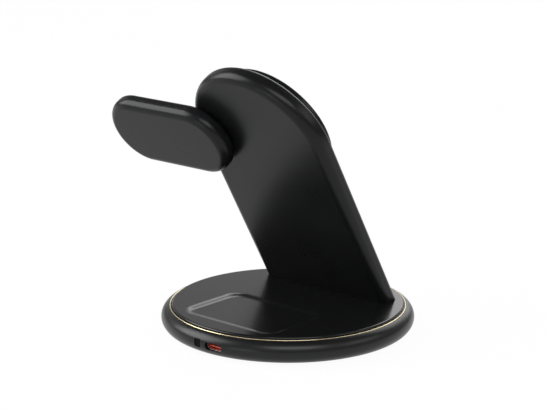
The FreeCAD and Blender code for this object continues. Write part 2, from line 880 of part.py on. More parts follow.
def make_stand_rear_shell():
    """Hollow back of the board: rounded edge, screw bosses, swivel stop and a tenon at its foot."""
    body = new_body("stand_back_body", board_spot)
    outline = new_sketch(body, "stand_back_outline")
    add_board_outline(outline, 0, -stand_drop)
    pad(body, outline, s.stand_split)
    soften(body, "stand_back_edge", s.stand_back_round, level(as_size(0), -stand_drop))

    hollow = new_sketch(body, "stand_hollow", lift=s.stand_split)
    add_board_outline(hollow, s.stand_wall, s.foot_solid)
    pocket(body, hollow, s.stand_split - s.stand_wall)
    channel = new_sketch(body, "lead_channel", lift=s.stand_split)
    add_rectangle(channel, -s.lead_w / 2, -stand_drop, s.lead_w / 2, s.foot_solid + s.stand_wall)
    pocket(body, channel, s.stand_split - s.stand_wall)

    bosses = new_sketch(body, "cover_bosses", lift=s.stand_wall)
    for x, y in cover_screw_places:
        add_circle(bosses, s.cover_boss_d, x, y)
    pad(body, bosses, s.stand_split - s.stand_wall)
    threads = new_sketch(body, "cover_pilots", lift=s.stand_split)
    for x, y in cover_screw_places:
        add_circle(threads, s.cover_screw_d + 2 * s.seat_gap, x, y)
    pocket(body, threads, s.cover_screw_l - (s.stand_t - s.stand_split - s.cover_head_h))

    hole = new_sketch(body, "bush_hole", lift=s.stand_wall)
    add_circle(hole, bush_d + 2 * s.seat_gap, pivot_x, pivot_l)
    pocket(body, hole, s.stand_wall)

    stop = swivel_stop()
    tenon = block(
        "stand_tenon",
        (-s.tenon_w / 2, tenon_back - s.tenon_d, deck_under),
        (s.tenon_w, s.tenon_d, base_top - deck_under),
    )
    lead_slot = block(
        "tenon_lead_slot",
        (-s.lead_w / 2, tenon_mid - s.lead_d / 2, clamp_low),
        (s.lead_w, s.lead_d, base_top - clamp_low),
    )
    pilot_l = base_top - clamp_low + s.foot_screw_bite
    pilots = [
        rod(f"tenon_pilot_{number}", s.foot_screw_d + 2 * s.seat_gap, pilot_l, (x, y, clamp_low))
        for number, (x, y) in enumerate(foot_screw_places, 1)
    ]
    levelled = minus("stand_back_levelled", body, below_base_top("stand_back_waste"))
    whole = joined("stand_back_whole", levelled, stop, tenon)
    keep("stand_rear_shell", minus("stand_rear_shell", whole, lead_slot, *pilots))


def swivel_stop():
    """Ring sector beside the nut, which the nut's tooth meets at both ends of the swivel."""
    body = new_body("swivel_stop", pivot_spot)
    sketch = new_sketch(body, "swivel_stop_outline", lift=s.stand_wall)
    inner = s.nut_d / 2 + s.run_gap
    outer = s.nut_d / 2 + s.stop_reach
    first = s.swivel_deg / 2 + s.stop_tooth_deg / 2 + s.stop_play_deg
    middle = as_size(180)
    last = 360 - first
    add_loop(sketch, [
        polar(outer, first),
        (*polar(outer, middle), outer),
        (*polar(outer, last), outer),
        polar(inner, last),
        (*polar(inner, middle), inner, "hollow"),
        (*polar(inner, first), inner, "hollow"),
    ])
    pad(body, sketch, nut_top - s.stand_wall)
    return body


def make_stand_front_cover():
    """Front of the board, with seats for the screws that the phone pad hides."""
    body = new_body("stand_front_body", board_spot)
    outline = new_sketch(body, "stand_front_outline", lift=s.stand_split)
    add_board_outline(outline, 0, -stand_drop)
    cover_t = s.stand_t - s.stand_split
    pad(body, outline, cover_t)
    edge_round = smaller(s.stand_front_round, cover_t * EDGE_SHARE)
    soften(body, "stand_front_edge", edge_round, level(s.stand_t, -stand_drop))
    seats = new_sketch(body, "cover_head_seats", lift=s.stand_t)
    holes = new_sketch(body, "cover_holes", lift=s.stand_t)
    for x, y in cover_screw_places:
        add_circle(seats, s.cover_head_d + 2 * s.fit_gap, x, y)
        add_circle(holes, s.cover_screw_d + 2 * s.fit_gap, x, y)
    add_circle(holes, s.pad_lead_d, 0, pad_l)
    pocket(body, seats, s.cover_head_h)
    pocket(body, holes, cover_t)
    keep("stand_front_cover", minus("stand_front_cover", body, below_base_top("stand_front_waste")))


def make_stand_fixing():
    """Steel plate under the deck that clamps the tenon, and its screws."""
    corner = (-clamp_w / 2, tenon_mid - s.clamp_d / 2, clamp_low)
    plate = block("clamp_blank", corner, (clamp_w, s.clamp_d, s.clamp_t))
    holes = [
        rod(f"clamp_hole_{number}", s.foot_screw_d + 2 * s.fit_gap, s.clamp_t, (x, y, clamp_low))
        for number, (x, y) in enumerate(foot_screw_places, 1)
    ]
    corner = (-s.lead_w / 2, tenon_mid - s.lead_d / 2, clamp_low)
    window = block("clamp_window", corner, (s.lead_w, s.lead_d, s.clamp_t))
    keep("stand_clamp_plate", minus("stand_clamp_plate", plate, window, *holes))
    make_screws(
        "stand_foot_screws", foot_screw_places, clamp_low - s.foot_head_h,
        s.foot_head_d, s.foot_head_h, s.foot_screw_d, base_top - clamp_low + s.foot_screw_bite,
    )


def make_cover_screws():
    """Screws through the front cover into the bosses of the rear shell."""
    body = new_body("stand_cover_screws", board_spot)
    body.AllowCompound = True
    head_low = s.stand_t - s.cover_head_h
    heads = new_sketch(body, "cover_screw_heads", lift=head_low)
    shanks = new_sketch(body, "cover_screw_shanks", lift=head_low)
    for x, y in cover_screw_places:
        add_circle(heads, s.cover_head_d, x, y)
        add_circle(shanks, s.cover_screw_d, x, y)
    pad(body, heads, s.cover_head_h)
    pad(body, shanks, s.cover_screw_l, down=True)
    keep("stand_cover_screws", body)


def make_phone_board():
    body = new_body("phone_board", board_spot)
    sketch = new_sketch(body, "phone_board_outline", lift=s.stand_wall)
    half = s.phone_board_w / 2
    add_rectangle(sketch, -half, s.phone_board_at, half, s.phone_board_at + s.phone_board_l)
    pad(body, sketch, s.phone_board_t)
    keep("phone_board", body)


# Phone pad

def make_phone_pad():
    """Round cup on a spigot, with ferrite, coil and a ring of magnets under a flush face."""
    pad_r = s.pad_d / 2
    hollow_r = pad_r - s.pad_wall
    spigot_r = pad_spigot_d / 2
    lead_r = s.pad_lead_d / 2
    housing = turned("phone_pad_housing", [
        (spigot_r, s.stand_t),
        (spigot_r, pad_back),
        (pad_r, pad_back),
        (pad_r, pad_front - s.pad_edge),
        (pad_r - s.pad_edge, pad_front, s.pad_edge),
        (hollow_r, pad_front),
        (hollow_r, pad_floor_top),
        (lead_r, pad_floor_top),
        (lead_r, s.stand_t),
    ], phone_spot)
    keep("phone_pad_housing", housing)

    face_d = 2 * (hollow_r - s.seat_gap)
    face_low = pad_front - s.pad_face_t
    keep("phone_pad_face", ring("phone_pad_face", 0, face_d, face_low, s.pad_face_t, phone_spot))
    coil_low = pad_floor_top + s.phone_ferrite_t
    ferrite = ring("phone_ferrite", s.pad_lead_d, phone_coil_d, pad_floor_top, s.phone_ferrite_t, phone_spot)
    keep("phone_ferrite", ferrite)
    coil = ring("phone_coil", s.phone_coil_bore, phone_coil_d, coil_low, phone_coil_t, phone_spot)
    keep("phone_coil", coil)
    make_phone_magnets()


def make_phone_magnets():
    """Ring of separate arc magnets round the coil."""
    body = new_body("phone_magnets", phone_spot)
    body.AllowCompound = True
    sketch = new_sketch(body, "magnet_outlines", lift=pad_floor_top)
    outer = magnet_ring_d / 2
    inner = magnet_ring_bore / 2
    step = 360 / MAGNETS
    for number in range(MAGNETS):
        first = step * number + s.magnet_gap / 2
        last = step * (number + 1) - s.magnet_gap / 2
        add_loop(sketch, [
            polar(outer, first),
            (*polar(outer, last), outer),
            polar(inner, last),
            (*polar(inner, first), inner, "hollow"),
        ])
    pad(body, sketch, magnet_t)
    keep("phone_magnets", body)


# Watch arm and its swivel

def add_arm_outline(sketch, inset):
    radius = s.arm_r - inset
    low = pivot_l - radius
    high = pivot_l + radius
    add_loop(sketch, [
        (watch_x, low),
        (watch_x + radius, pivot_l, radius),
        (watch_x, high, radius),
        (arm_x, high),
        (arm_x - radius, pivot_l, radius),
        (arm_x, low, radius),
    ])


def make_arm_shells():
    """Two hollow halves with a full round edge; the front half takes the spindle and the coil's leads."""
    rear = new_body("arm_rear_shell", board_spot)
    outline = new_sketch(rear, "arm_rear_outline", lift=arm_back)
    add_arm_outline(outline, 0)
    pad(rear, outline, s.arm_split)
    soften(rear, "arm_rear_edge", smaller(s.arm_back_round, s.arm_split * EDGE_SHARE), level(arm_back))
    hollow = new_sketch(rear, "arm_rear_hollow", lift=arm_parting)
    add_arm_outline(hollow, 2 * s.arm_wall)
    pocket(rear, hollow, s.arm_split - s.arm_wall)
    keep("arm_rear_shell", rear)

    front = new_body("arm_front_shell", board_spot)
    outline = new_sketch(front, "arm_front_outline", lift=arm_parting)
    add_arm_outline(outline, 0)
    front_t = s.arm_t - s.arm_split
    pad(front, outline, front_t)
    soften(front, "arm_front_edge", smaller(s.arm_front_round, front_t * EDGE_SHARE), level(arm_front))
    hollow = new_sketch(front, "arm_front_hollow", lift=arm_parting)
    add_arm_outline(hollow, 2 * s.arm_wall)
    pocket(front, hollow, front_t - s.arm_wall, along=True)
    holes = new_sketch(front, "arm_front_holes", lift=arm_front)
    add_circle(holes, s.spindle_d + 2 * s.seat_gap, pivot_x, pivot_l)
    pocket(front, holes, s.arm_wall)
    keep("arm_front_shell", front)


def make_swivel():
    """Neck and hollow spindle that turn with the arm, bush and spring washer that stay in the board."""
    neck_hole_r = s.spindle_d / 2 + s.seat_gap
    neck_end = -s.run_gap
    neck = turned("arm_neck", [
        (neck_r, arm_front),
        (neck_r, neck_end - s.neck_edge),
        (neck_r - s.neck_edge, neck_end, s.neck_edge),
        (neck_hole_r, neck_end),
        (neck_hole_r, arm_front),
    ], pivot_spot)
    keep("arm_neck", neck)

    bore_r = s.spindle_bore / 2
    shank_r = s.spindle_d / 2
    head_low = arm_inner_front - s.spindle_head_t
    spindle_end = nut_top + s.spindle_end
    spindle = turned("pivot_spindle", [
        (spindle_head_r, head_low),
        (spindle_head_r, arm_inner_front),
        (shank_r, arm_inner_front),
        (shank_r, spindle_end),
        (bore_r, spindle_end),
        (bore_r, head_low),
    ], pivot_spot)
    keep("pivot_spindle", spindle)

    hole_r = spindle_hole / 2
    flange_r = s.nut_d / 2
    bush = turned("pivot_bush", [
        (bush_d / 2, 0),
        (bush_d / 2, s.stand_wall),
        (flange_r, s.stand_wall),
        (flange_r, bush_top),
        (hole_r, bush_top),
        (hole_r, 0),
    ], pivot_spot)
    keep("pivot_bush", bush)
    keep("pivot_washer", ring("pivot_washer", spindle_hole, washer_d, bush_top, s.washer_t, pivot_spot))

    nut = ring("pivot_nut", s.spindle_d + s.seat_gap, s.nut_d, nut_low, s.nut_t, pivot_spot)
    tooth = new_sketch(nut, "nut_tooth", lift=nut_low)
    tip = s.nut_d / 2 + s.stop_reach - s.run_gap
    tooth_root = (s.nut_d - s.stop_reach) / 2
    first = (s.swivel_deg - s.stop_tooth_deg) / 2
    last = (s.swivel_deg + s.stop_tooth_deg) / 2
    add_loop(tooth, [
        polar(tooth_root, first),
        polar(tip, first),
        (*polar(tip, last), tip),
        polar(tooth_root, last),
    ])
    pad(nut, tooth, s.nut_t)
    keep("pivot_nut", nut)


def make_watch_charger():
    """Raised ring with a dished face, over magnet, coil and ferrite inside the arm."""
    ring_r = watch_pad_d / 2
    face_r = ring_r - s.watch_pad_wall
    ring_top = arm_front + s.watch_pad_h
    bezel = turned("watch_pad_ring", [
        (ring_r, arm_front),
        (ring_r, ring_top - s.watch_pad_edge),
        (ring_r - s.watch_pad_edge, ring_top, s.watch_pad_edge),
        (face_r, ring_top),
        (face_r, arm_front),
    ], watch_spot)
    keep("watch_pad_ring", bezel)

    dish_r = face_r - s.seat_gap
    dish_top = arm_front + s.watch_face_h
    dish_round = (dish_r * dish_r + s.watch_dish * s.watch_dish) / (2 * s.watch_dish)
    face = turned("watch_pad_face", [
        (dish_r, arm_front),
        (dish_r, dish_top),
        (0, dish_top - s.watch_dish, dish_round, "hollow"),
        (0, arm_front),
    ], watch_spot)
    keep("watch_pad_face", face)

    coil_low = arm_inner_front - s.watch_coil_t
    ferrite_low = coil_low - s.watch_ferrite_t
    coil = ring("watch_coil", s.watch_coil_bore, watch_coil_d, coil_low, s.watch_coil_t, watch_spot)
    keep("watch_coil", coil)
    keep("watch_magnet", ring("watch_magnet", 0, s.watch_magnet_d, coil_low, s.watch_coil_t, watch_spot))
    keep("watch_ferrite", ring("watch_ferrite", 0, watch_coil_d, ferrite_low, s.watch_ferrite_t, watch_spot))
    keep("watch_board", ring("watch_board", 0, watch_coil_d, arm_inner_back, s.watch_board_t, watch_spot))


make_base_shell()
make_base_inlay()
make_gold_trim_ring()
make_bottom_plate()
make_foot_pad()
make_ballast()
make_screws(
    "base_screws", boss_places, foot_top,
    s.base_head_d, s.base_head_h, s.base_screw_d, s.base_screw_l,
)
make_circuit()
make_usb_socket()
make_light_button()
make_earbud_charger()
make_stand_rear_shell()
make_stand_front_cover()
make_stand_fixing()
make_cover_screws()
make_phone_board()
make_phone_pad()
make_arm_shells()
make_swivel()
make_watch_charger()

doc.recompute()
faults = [thing.Name for thing in doc.Objects if "Invalid" in thing.State or "Error" in thing.State]
for piece in pieces:
    if piece.Shape.isNull() or not piece.Shape.isValid() or not piece.Shape.Solids:
        faults.append(f"{piece.Label} has no valid solid")
for feature, before in cuts:
    if feature.Shape.Volume >= before.Shape.Volume - 1e-6:
        faults.append(f"{feature.Name} removes nothing")
if faults:
    raise RuntimeError("; ".join(faults))

os.makedirs("parts", exist_ok=True)
for piece in pieces:
    piece.Shape.exportStep(f"parts/{piece.Label}.step")
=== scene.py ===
"""Looks of a wireless charging stand, modelled over its packed CAD frame."""

import math

import bmesh
import bpy
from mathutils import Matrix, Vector


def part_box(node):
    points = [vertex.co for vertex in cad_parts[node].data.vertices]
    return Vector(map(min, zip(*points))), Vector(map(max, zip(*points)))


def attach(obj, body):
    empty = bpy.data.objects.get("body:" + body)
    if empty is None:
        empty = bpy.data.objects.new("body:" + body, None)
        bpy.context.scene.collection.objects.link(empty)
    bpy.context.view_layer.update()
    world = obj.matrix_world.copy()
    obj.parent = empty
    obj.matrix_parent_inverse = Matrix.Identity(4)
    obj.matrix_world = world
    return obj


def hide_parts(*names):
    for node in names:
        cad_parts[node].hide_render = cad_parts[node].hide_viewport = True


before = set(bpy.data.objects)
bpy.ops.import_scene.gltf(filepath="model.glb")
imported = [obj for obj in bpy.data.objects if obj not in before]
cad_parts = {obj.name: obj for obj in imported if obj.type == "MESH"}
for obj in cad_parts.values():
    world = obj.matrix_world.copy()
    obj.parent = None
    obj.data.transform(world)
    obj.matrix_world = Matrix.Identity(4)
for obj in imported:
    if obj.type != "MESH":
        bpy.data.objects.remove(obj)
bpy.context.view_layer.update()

bl_info = {
    "name": "Wireless Charging Stand",
    "version": (1, 0, 0),
    "blender": (4, 5, 0),
    "location": "View3D > Sidebar > Charger",
    "description": "Models a charging stand with a phone pad, an earbud tray and a watch arm",
    "category": "Object",
}

MM = 0.001
NEAR = 1e-6  # Metres within which two places are the same
LEVEL = 0.9  # Least upward part of a level face's normal
CREASE = 0.1  # Least angle between the faces at a sloping edge, in radians
CORNER = 1.0  # Least angle between the faces at a square edge, in radians
SMOOTH_ANGLE = math.radians(32)

# Steps round a full circle
ROUND_STEPS = 256
HOLE_STEPS = 64

# Steps across a rounded edge, from the broadest to the finest
RIM_STEPS = 44
TRAY_STEPS = 24
BROAD_STEPS = 16
EDGE_STEPS = 12
FILLET_STEPS = 8
SMALL_STEPS = 6
LIP_STEPS = 5
FINE_STEPS = 4
SHEET_STEPS = 3
SEAM_STEPS = 2

# Heights and radius that the frame gives
DISC_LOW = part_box("base_inlay")[0].z
BASE_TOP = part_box("base_inlay")[1].z
BASE_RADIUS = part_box("base_shell")[1].x
RIM_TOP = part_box("base_shell")[1].z


def place(name, millimetres, description, **limits):
    """A coordinate that may lie on either side of the middle, given in millimetres."""
    return bpy.props.FloatProperty(
        name=name, description=description, default=millimetres * MM,
        precision=5, subtype="DISTANCE", unit="LENGTH", **limits,
    )


def length(name, millimetres, description):
    """A distance, given in millimetres."""
    return place(name, millimetres, description, min=0.0)


def colour(name, shade, description):
    """A linear colour that the sidebar shows."""
    return bpy.props.FloatVectorProperty(
        name=name, description=description, default=(*shade, 1.0),
        size=4, min=0.0, max=1.0, subtype="COLOR",
    )


class BaseSizes(bpy.types.PropertyGroup):
    """Sizes of the round base, its socket and its button."""

    rim_round: length("Rim rounding", 5.4, "Radius of the base's rounded edge")
    wall: length("Wall", 4.5, "Thickness of the base's outer wall")
    deck: length("Deck", 1.9, "Thickness of the deck under the top disc")
    disc_radius: length("Top disc radius", 54.9, "Radius of the disc set into the rim")
    disc_edge: length("Top disc edge", 0.9, "Rounding of the disc's lip")
    seat_gap: length("Seat gap", 0.2, "Joint line between the disc and the rim")
    trim_radius: length("Trim radius", 55.8, "Radius to the middle of the trim ring")
    trim_width: length("Trim width", 0.6, "Width of the trim ring")
    trim_depth: length("Trim depth", 1.45, "Height of the trim ring")
    trim_rise: length("Trim rise", 0.05, "How far the trim ring stands above the rim")
    trim_edge: length("Trim edge", 0.3, "Rounding of the trim ring's corners")
    tray_width: length("Tray width", 56.5, "Width of the earbud tray")
    tray_length: length("Tray length", 39.3, "Length of the earbud tray")
    tray_y: place("Tray place", 24.7, "Middle of the earbud tray behind the base's middle")
    tray_round: length("Tray corner", 8.8, "Corner radius of the earbud tray")
    tray_depth: length("Tray depth", 0.9, "Depth of the earbud tray")
    tray_slope: length("Tray slope", 2.5, "Width of the slope down to the tray's floor")
    tray_lip: length("Tray lip", 1.25, "Reach of the rounding along the tray's upper edge")
    tray_fillet: length("Tray fillet", 1.15, "Reach of the rounding along the tray's floor")
    socket_x: place("Socket place", -7.0, "Middle of the socket to the side")
    socket_z: place("Socket height", 6.48, "Middle of the socket above the table")
    socket_width: length("Socket width", 8.94, "Outer width of the socket's shell")
    socket_height: length("Socket height outside", 3.26, "Outer height of the socket's shell")
    socket_sheet: length("Socket sheet", 0.3, "Thickness of the socket's sheet metal")
    tongue_width: length("Tongue width", 6.69, "Width of the socket's tongue")
    tongue_thickness: length("Tongue thickness", 0.7, "Thickness of the socket's tongue")
    tongue_recess: length("Tongue recess", 0.6, "Tongue's tip behind the socket's mouth")
    plug_length: length("Plug length", 1.8, "Moulded block at the socket's inner end")
    lining: length("Lining", 0.12, "Thickness of the moulding along the socket's shell")
    button_x: place("Button place", 2.3, "Middle of the button to the side")
    button_z: place("Button height", 6.9, "Middle of the button above the table")
    button_width: length("Button width", 3.3, "Width of the button")
    button_height: length("Button height outside", 3.6, "Height of the button")
    button_round: length("Button corner", 0.5, "Corner radius of the button")


class StandSizes(bpy.types.PropertyGroup):
    """Sizes of the leaning board and its phone pad."""

    lean: bpy.props.FloatProperty(
        name="Lean", description="How far the board leans back", default=math.radians(30.3),
        subtype="ANGLE", unit="ROTATION",
    )
    foot_y: place("Foot line", -26.0, "Where the board's back face meets the base")
    width: length("Board width", 75.4, "Width of the board")
    thickness: length("Board thickness", 9.0, "Thickness of the board")
    arc_at: length("Arc height", 92.9, "Centre of the board's round top, along the board")
    split: length("Parting line", 6.2, "Depth of the rear half")
    wall: length("Board wall", 1.8, "Wall of the hollow rear half")
    solid_foot: length("Solid foot", 8.0, "Length of the board that is solid at its foot")
    back_round: length("Rear edge", 4.4, "Rounding of the board's rear edge")
    front_round: length("Front edge", 2.6, "Rounding of the board's front edge")
    seam: length("Seam", 0.05, "Small bevel on both sides of a parting line")
    pad_at: length("Pad height", 93.2, "Centre of the phone pad, along the board")
    pad_radius: length("Pad radius", 31.7, "Radius of the phone pad")
    pad_thickness: length("Pad thickness", 5.0, "Thickness of the phone pad")
    pad_groove: length("Pad groove", 0.3, "Shadow gap between the pad and the board")
    pad_spigot: length("Pad spigot", 28.0, "Radius of the step that carries the pad")
    pad_floor: length("Pad floor", 1.2, "Thickness of the pad's floor")
    pad_wall: length("Pad wall", 1.6, "Thickness of the pad's side wall")
    pad_edge: length("Pad edge", 1.0, "Rounding of the pad's front edge")
    pad_lead: length("Pad lead hole", 4.0, "Radius of the hole for the coil's leads")
    face_thickness: length("Pad face", 1.2, "Thickness of the pad's soft face")
    face_gap: length("Pad face gap", 0.1, "Joint line round the pad's face")


class ArmSizes(bpy.types.PropertyGroup):
    """Sizes of the swivelling watch arm."""

    pivot_x: place("Swivel place", 25.3, "Swivel axis to the side of the board's middle")
    pivot_at: length("Swivel height", 93.2, "Swivel axis along the board")
    root: length("Root", 7.45, "From the swivel axis to the middle of the arm's near end")
    span: length("Span", 35.75, "From the arm's near end to the middle of the watch pad")
    radius: length("Arm radius", 18.35, "Radius of the arm's round ends")
    gap: length("Arm gap", 1.3, "Room between the board and the arm")
    thickness: length("Arm thickness", 8.3, "Thickness of the arm")
    split: length("Arm parting line", 4.3, "Depth of the arm's rear half")
    wall: length("Arm wall", 1.6, "Wall of the hollow arm")
    back_round: length("Arm rear edge", 4.05, "Rounding of the arm's rear edge")
    front_round: length("Arm front edge", 2.4, "Rounding of the arm's front edge")
    neck_radius: length("Neck radius", 8.3, "Radius of the neck that the arm swivels on")
    neck_edge: length("Neck edge", 0.3, "Rounding of the neck at the board")
    neck_gap: length("Running gap", 0.3, "Running gap between the neck and the board")
    spindle: length("Spindle hole", 5.1, "Radius of the hole for the swivel's spindle")
    bush: length("Bush hole", 6.6, "Radius of the hole for the swivel's bush")
    watch_radius: length("Watch pad radius", 14.0, "Radius of the watch pad's ring")
    watch_height: length("Watch pad height", 0.8, "How far the watch pad stands out of the arm")
    watch_wall: length("Watch ring width", 3.0, "Width of the watch pad's ring")
    watch_edge: length("Watch ring edge", 0.4, "Rounding of the watch pad's ring")
    watch_face: length("Watch face height", 0.7, "Height of the dished face at its edge")
    watch_dish: length("Watch dish", 0.3, "Depth of the dish in the watch pad's face")
    watch_gap: length("Watch face gap", 0.1, "Joint line round the watch pad's face")


class Finishes(bpy.types.PropertyGroup):
    """Colours of the stand and the pitch of its coils."""

    shell: colour("Shell", (0.0045, 0.0047, 0.0052), "Satin black housings")
    shell_worn: colour("Shell variation", (0.0075, 0.0078, 0.0085), "Lighter patches of the black")
    disc: colour("Top disc", (0.005, 0.0052, 0.0056), "Polished top of the base")
    soft: colour("Soft pads", (0.012, 0.012, 0.0125), "Soft-touch pads and foot")
    gold: colour("Trim", (0.86, 0.74, 0.47), "Polished trim ring")
    steel: colour("Steel", (0.56, 0.57, 0.58), "Screws, spindle and plates")
    socket: colour("Socket shell", (0.26, 0.26, 0.27), "Plated socket shell")
    tongue: colour("Socket tongue", (0.62, 0.085, 0.05), "Orange-red tongue in the socket")
    circuit: colour("Circuit board", (0.012, 0.09, 0.04), "Lacquered circuit boards")
    copper: colour("Coils", (0.72, 0.31, 0.13), "Enamelled copper coils")
    wire_pitch: length("Wire pitch", 0.6, "From one turn of a coil's wire to the next")
    ferrite: colour("Ferrite", (0.035, 0.034, 0.036), "Pressed ferrite sheets")
    component: colour("Components", (0.02, 0.02, 0.022), "Moulded chips and inductors")
    magnet: colour("Magnets", (0.62, 0.61, 0.58), "Nickel-plated magnets")


class StageSettings(bpy.types.PropertyGroup):
    """Floor, light and camera."""

    floor: colour("Floor", (0.9, 0.9, 0.9), "Plain pale floor")
    lens: bpy.props.FloatProperty(
        name="Lens", description="Focal length in millimetres", default=122.64, min=1.0,
    )


# Modelling helpers


def clear():
    """Leave edit mode with nothing selected."""
    if bpy.context.mode != "OBJECT":
        bpy.ops.object.mode_set(mode="OBJECT")
    bpy.ops.object.select_all(action="DESELECT")


def only(piece):
    """Make a piece the one selected and active object, in object mode."""
    clear()
    piece.select_set(True)
    bpy.context.view_layer.objects.active = piece


def reopen(piece):
    """Open a piece for editing again."""
    only(piece)
    bpy.ops.object.mode_set(mode="EDIT")


def begin(name):
    """Name the primitive that was just added and open it for editing."""
    piece = bpy.context.object
    piece.name = name
    piece.data.name = name
    bpy.ops.object.transform_apply(location=True, rotation=True, scale=True)
    bpy.ops.object.mode_set(mode="EDIT")
    bpy.ops.mesh.select_mode(type="VERT")
    return piece


def pick(piece, kind, test):
    """Select the vertices, edges or faces of the open piece that pass a test of their place."""
    bpy.ops.mesh.select_mode(type=kind)
    bpy.ops.mesh.select_all(action="DESELECT")
    mesh = bmesh.from_edit_mesh(piece.data)
    parts = {"VERT": mesh.verts, "EDGE": mesh.edges, "FACE": mesh.faces}[kind]
    for part in parts:
        if test(part):
            part.select_set(True)
    mesh.select_flush_mode()
    bmesh.update_edit_mesh(piece.data)


def flat_at(level, bend=None):
    """A test for edges at one height, bent by more than an angle where one is given."""
    def test(edge):
        flat = all(abs(corner.co.z - level) < NEAR for corner in edge.verts)
        return flat and (bend is None or edge.calc_face_angle(0.0) > bend)

    return test


def soften(piece, test, radius, steps=EDGE_STEPS):
    """Round the edges of the open piece that pass a test."""
    pick(piece, "EDGE", test)
    bpy.ops.mesh.bevel(
        offset=radius, segments=steps, profile=0.5, affect="EDGES", clamp_overlap=False,
    )


def thicken(height):
    """Extrude the open outline straight up and turn its faces outwards."""
    bpy.ops.mesh.select_all(action="SELECT")
    bpy.ops.mesh.extrude_region_move(TRANSFORM_OT_translate={"value": (0.0, 0.0, height)})
    bpy.ops.mesh.select_all(action="SELECT")
    bpy.ops.mesh.normals_make_consistent(inside=False)


def close(piece):
    """Merge doubles, turn the faces outwards and shade the finished mesh."""
    if bpy.context.mode != "EDIT_MESH":
        reopen(piece)
    bpy.ops.mesh.select_all(action="SELECT")
    bpy.ops.mesh.remove_doubles(threshold=NEAR)
    bpy.ops.mesh.normals_make_consistent(inside=False)
    only(piece)
    bpy.ops.object.shade_smooth_by_angle(angle=SMOOTH_ANGLE)
    return piece


def carve(piece, cutter):
    """Cut one mesh out of another and remove the cutter."""
    only(piece)
    bpy.ops.object.modifier_add(type="BOOLEAN")
    modifier = piece.modifiers[-1]
    modifier.object = cutter
    modifier.operation = "DIFFERENCE"
    modifier.solver = "EXACT"
    bpy.ops.object.modifier_apply(modifier=modifier.name)
    bpy.data.objects.remove(cutter, do_unlink=True)


def arc(centre_r, centre_z, radius, first, last, steps=EDGE_STEPS):
    """Points of a circular arc in a section, between two angles in degrees."""
    angles = [math.radians(first + (last - first) * step / steps) for step in range(steps + 1)]
    return [(centre_r + radius * math.cos(a), centre_z + radius * math.sin(a)) for a in angles]


def turn(name, section, centre=(0.0, 0.0)):
    """Draw a section point by point, close it unless it ends on the axis, and spin it."""
    clear()
    x, y = centre
    bpy.ops.mesh.primitive_plane_add(size=MM)
    piece = begin(name)
    bpy.ops.mesh.select_all(action="SELECT")
    bpy.ops.mesh.merge(type="CENTER")
    bpy.ops.transform.translate(value=(x + section[0][0], y, section[0][1]))
    for here, there in zip(section, section[1:]):
        step = (there[0] - here[0], 0.0, there[1] - here[1])
        bpy.ops.mesh.extrude_vertices_move(TRANSFORM_OT_translate={"value": step})
    ends = (section[0], section[-1])
    if ends[0][0] > NEAR:
        pick(piece, "VERT", lambda v: any(
            abs(v.co.x - x - r) < NEAR and abs(v.co.z - z) < NEAR for r, z in ends
        ))
        bpy.ops.mesh.edge_face_add()
    bpy.ops.mesh.select_all(action="SELECT")
    bpy.ops.mesh.spin(
        steps=ROUND_STEPS, angle=2 * math.pi, center=(x, y, 0.0), axis=(0.0, 0.0, 1.0),
    )
    return close(piece)


def capsule(name, start, end, radius, low, high):
    """Round-ended bar along X, from a circle that is pulled apart, left open for editing."""
    clear()
    bpy.ops.mesh.primitive_circle_add(
        vertices=ROUND_STEPS, radius=radius, fill_type="NGON",
        location=(*start, low), rotation=(0.0, 0.0, math.pi / ROUND_STEPS),
    )
    piece = begin(name)
    pick(piece, "VERT", lambda v: v.co.x > start[0])
    bpy.ops.transform.translate(value=(end[0] - start[0], end[1] - start[1], 0.0))
    thicken(high - low)
    return piece


def rounded_block(name, middle, size, radius, steps):
    """Upright block with rounded corners, left open for editing."""
    clear()
    bpy.ops.mesh.primitive_cube_add(size=1.0, location=middle, scale=size)
    piece = begin(name)

    def upright(edge):
        first, last = edge.verts
        return abs(first.co.x - last.co.x) < NEAR and abs(first.co.y - last.co.y) < NEAR

    soften(piece, upright, radius, steps)
    return piece


def rod(name, centre, radius, low, high):
    """Plain cylinder used to drill a hole."""
    clear()
    bpy.ops.mesh.primitive_cylinder_add(
        vertices=HOLE_STEPS, radius=radius, depth=high - low,
        location=(*centre, (low + high) / 2),
    )
    return begin(name)


def settle(piece, angle, spot=(0.0, 0.0, 0.0)):
    """Turn a piece about X, move it, and put its place into its mesh."""
    only(piece)
    piece.rotation_euler = (angle, 0.0, 0.0)
    piece.location = spot
    bpy.ops.object.transform_apply(location=True, rotation=True, scale=True)
    return piece


def tip_back(piece):
    """Lay an upright piece over so that its height runs along +Y."""
    return settle(piece, -math.pi / 2)


def lean(piece):
    """Set a piece from the board's own frame onto the base, at the board's lean."""
    stand = bpy.context.scene.charger_stand
    return settle(piece, math.pi / 2 - stand.lean, (0.0, stand.foot_y, BASE_TOP))


def dress(piece, finish, body, slot, *nodes):
    """Even out a piece's shading, give it its finish and its body, and hide the CAD nodes it stands
    for.
    """
    only(piece)
    bpy.ops.object.modifier_add(type="WEIGHTED_NORMAL")
    piece.modifiers[-1].keep_sharp = True
    bpy.ops.object.modifier_apply(modifier=piece.modifiers[-1].name)
    piece.data.materials.clear()
    piece.data.materials.append(finish_of(finish))
    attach(piece, body)
    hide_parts(*nodes)


# Materials


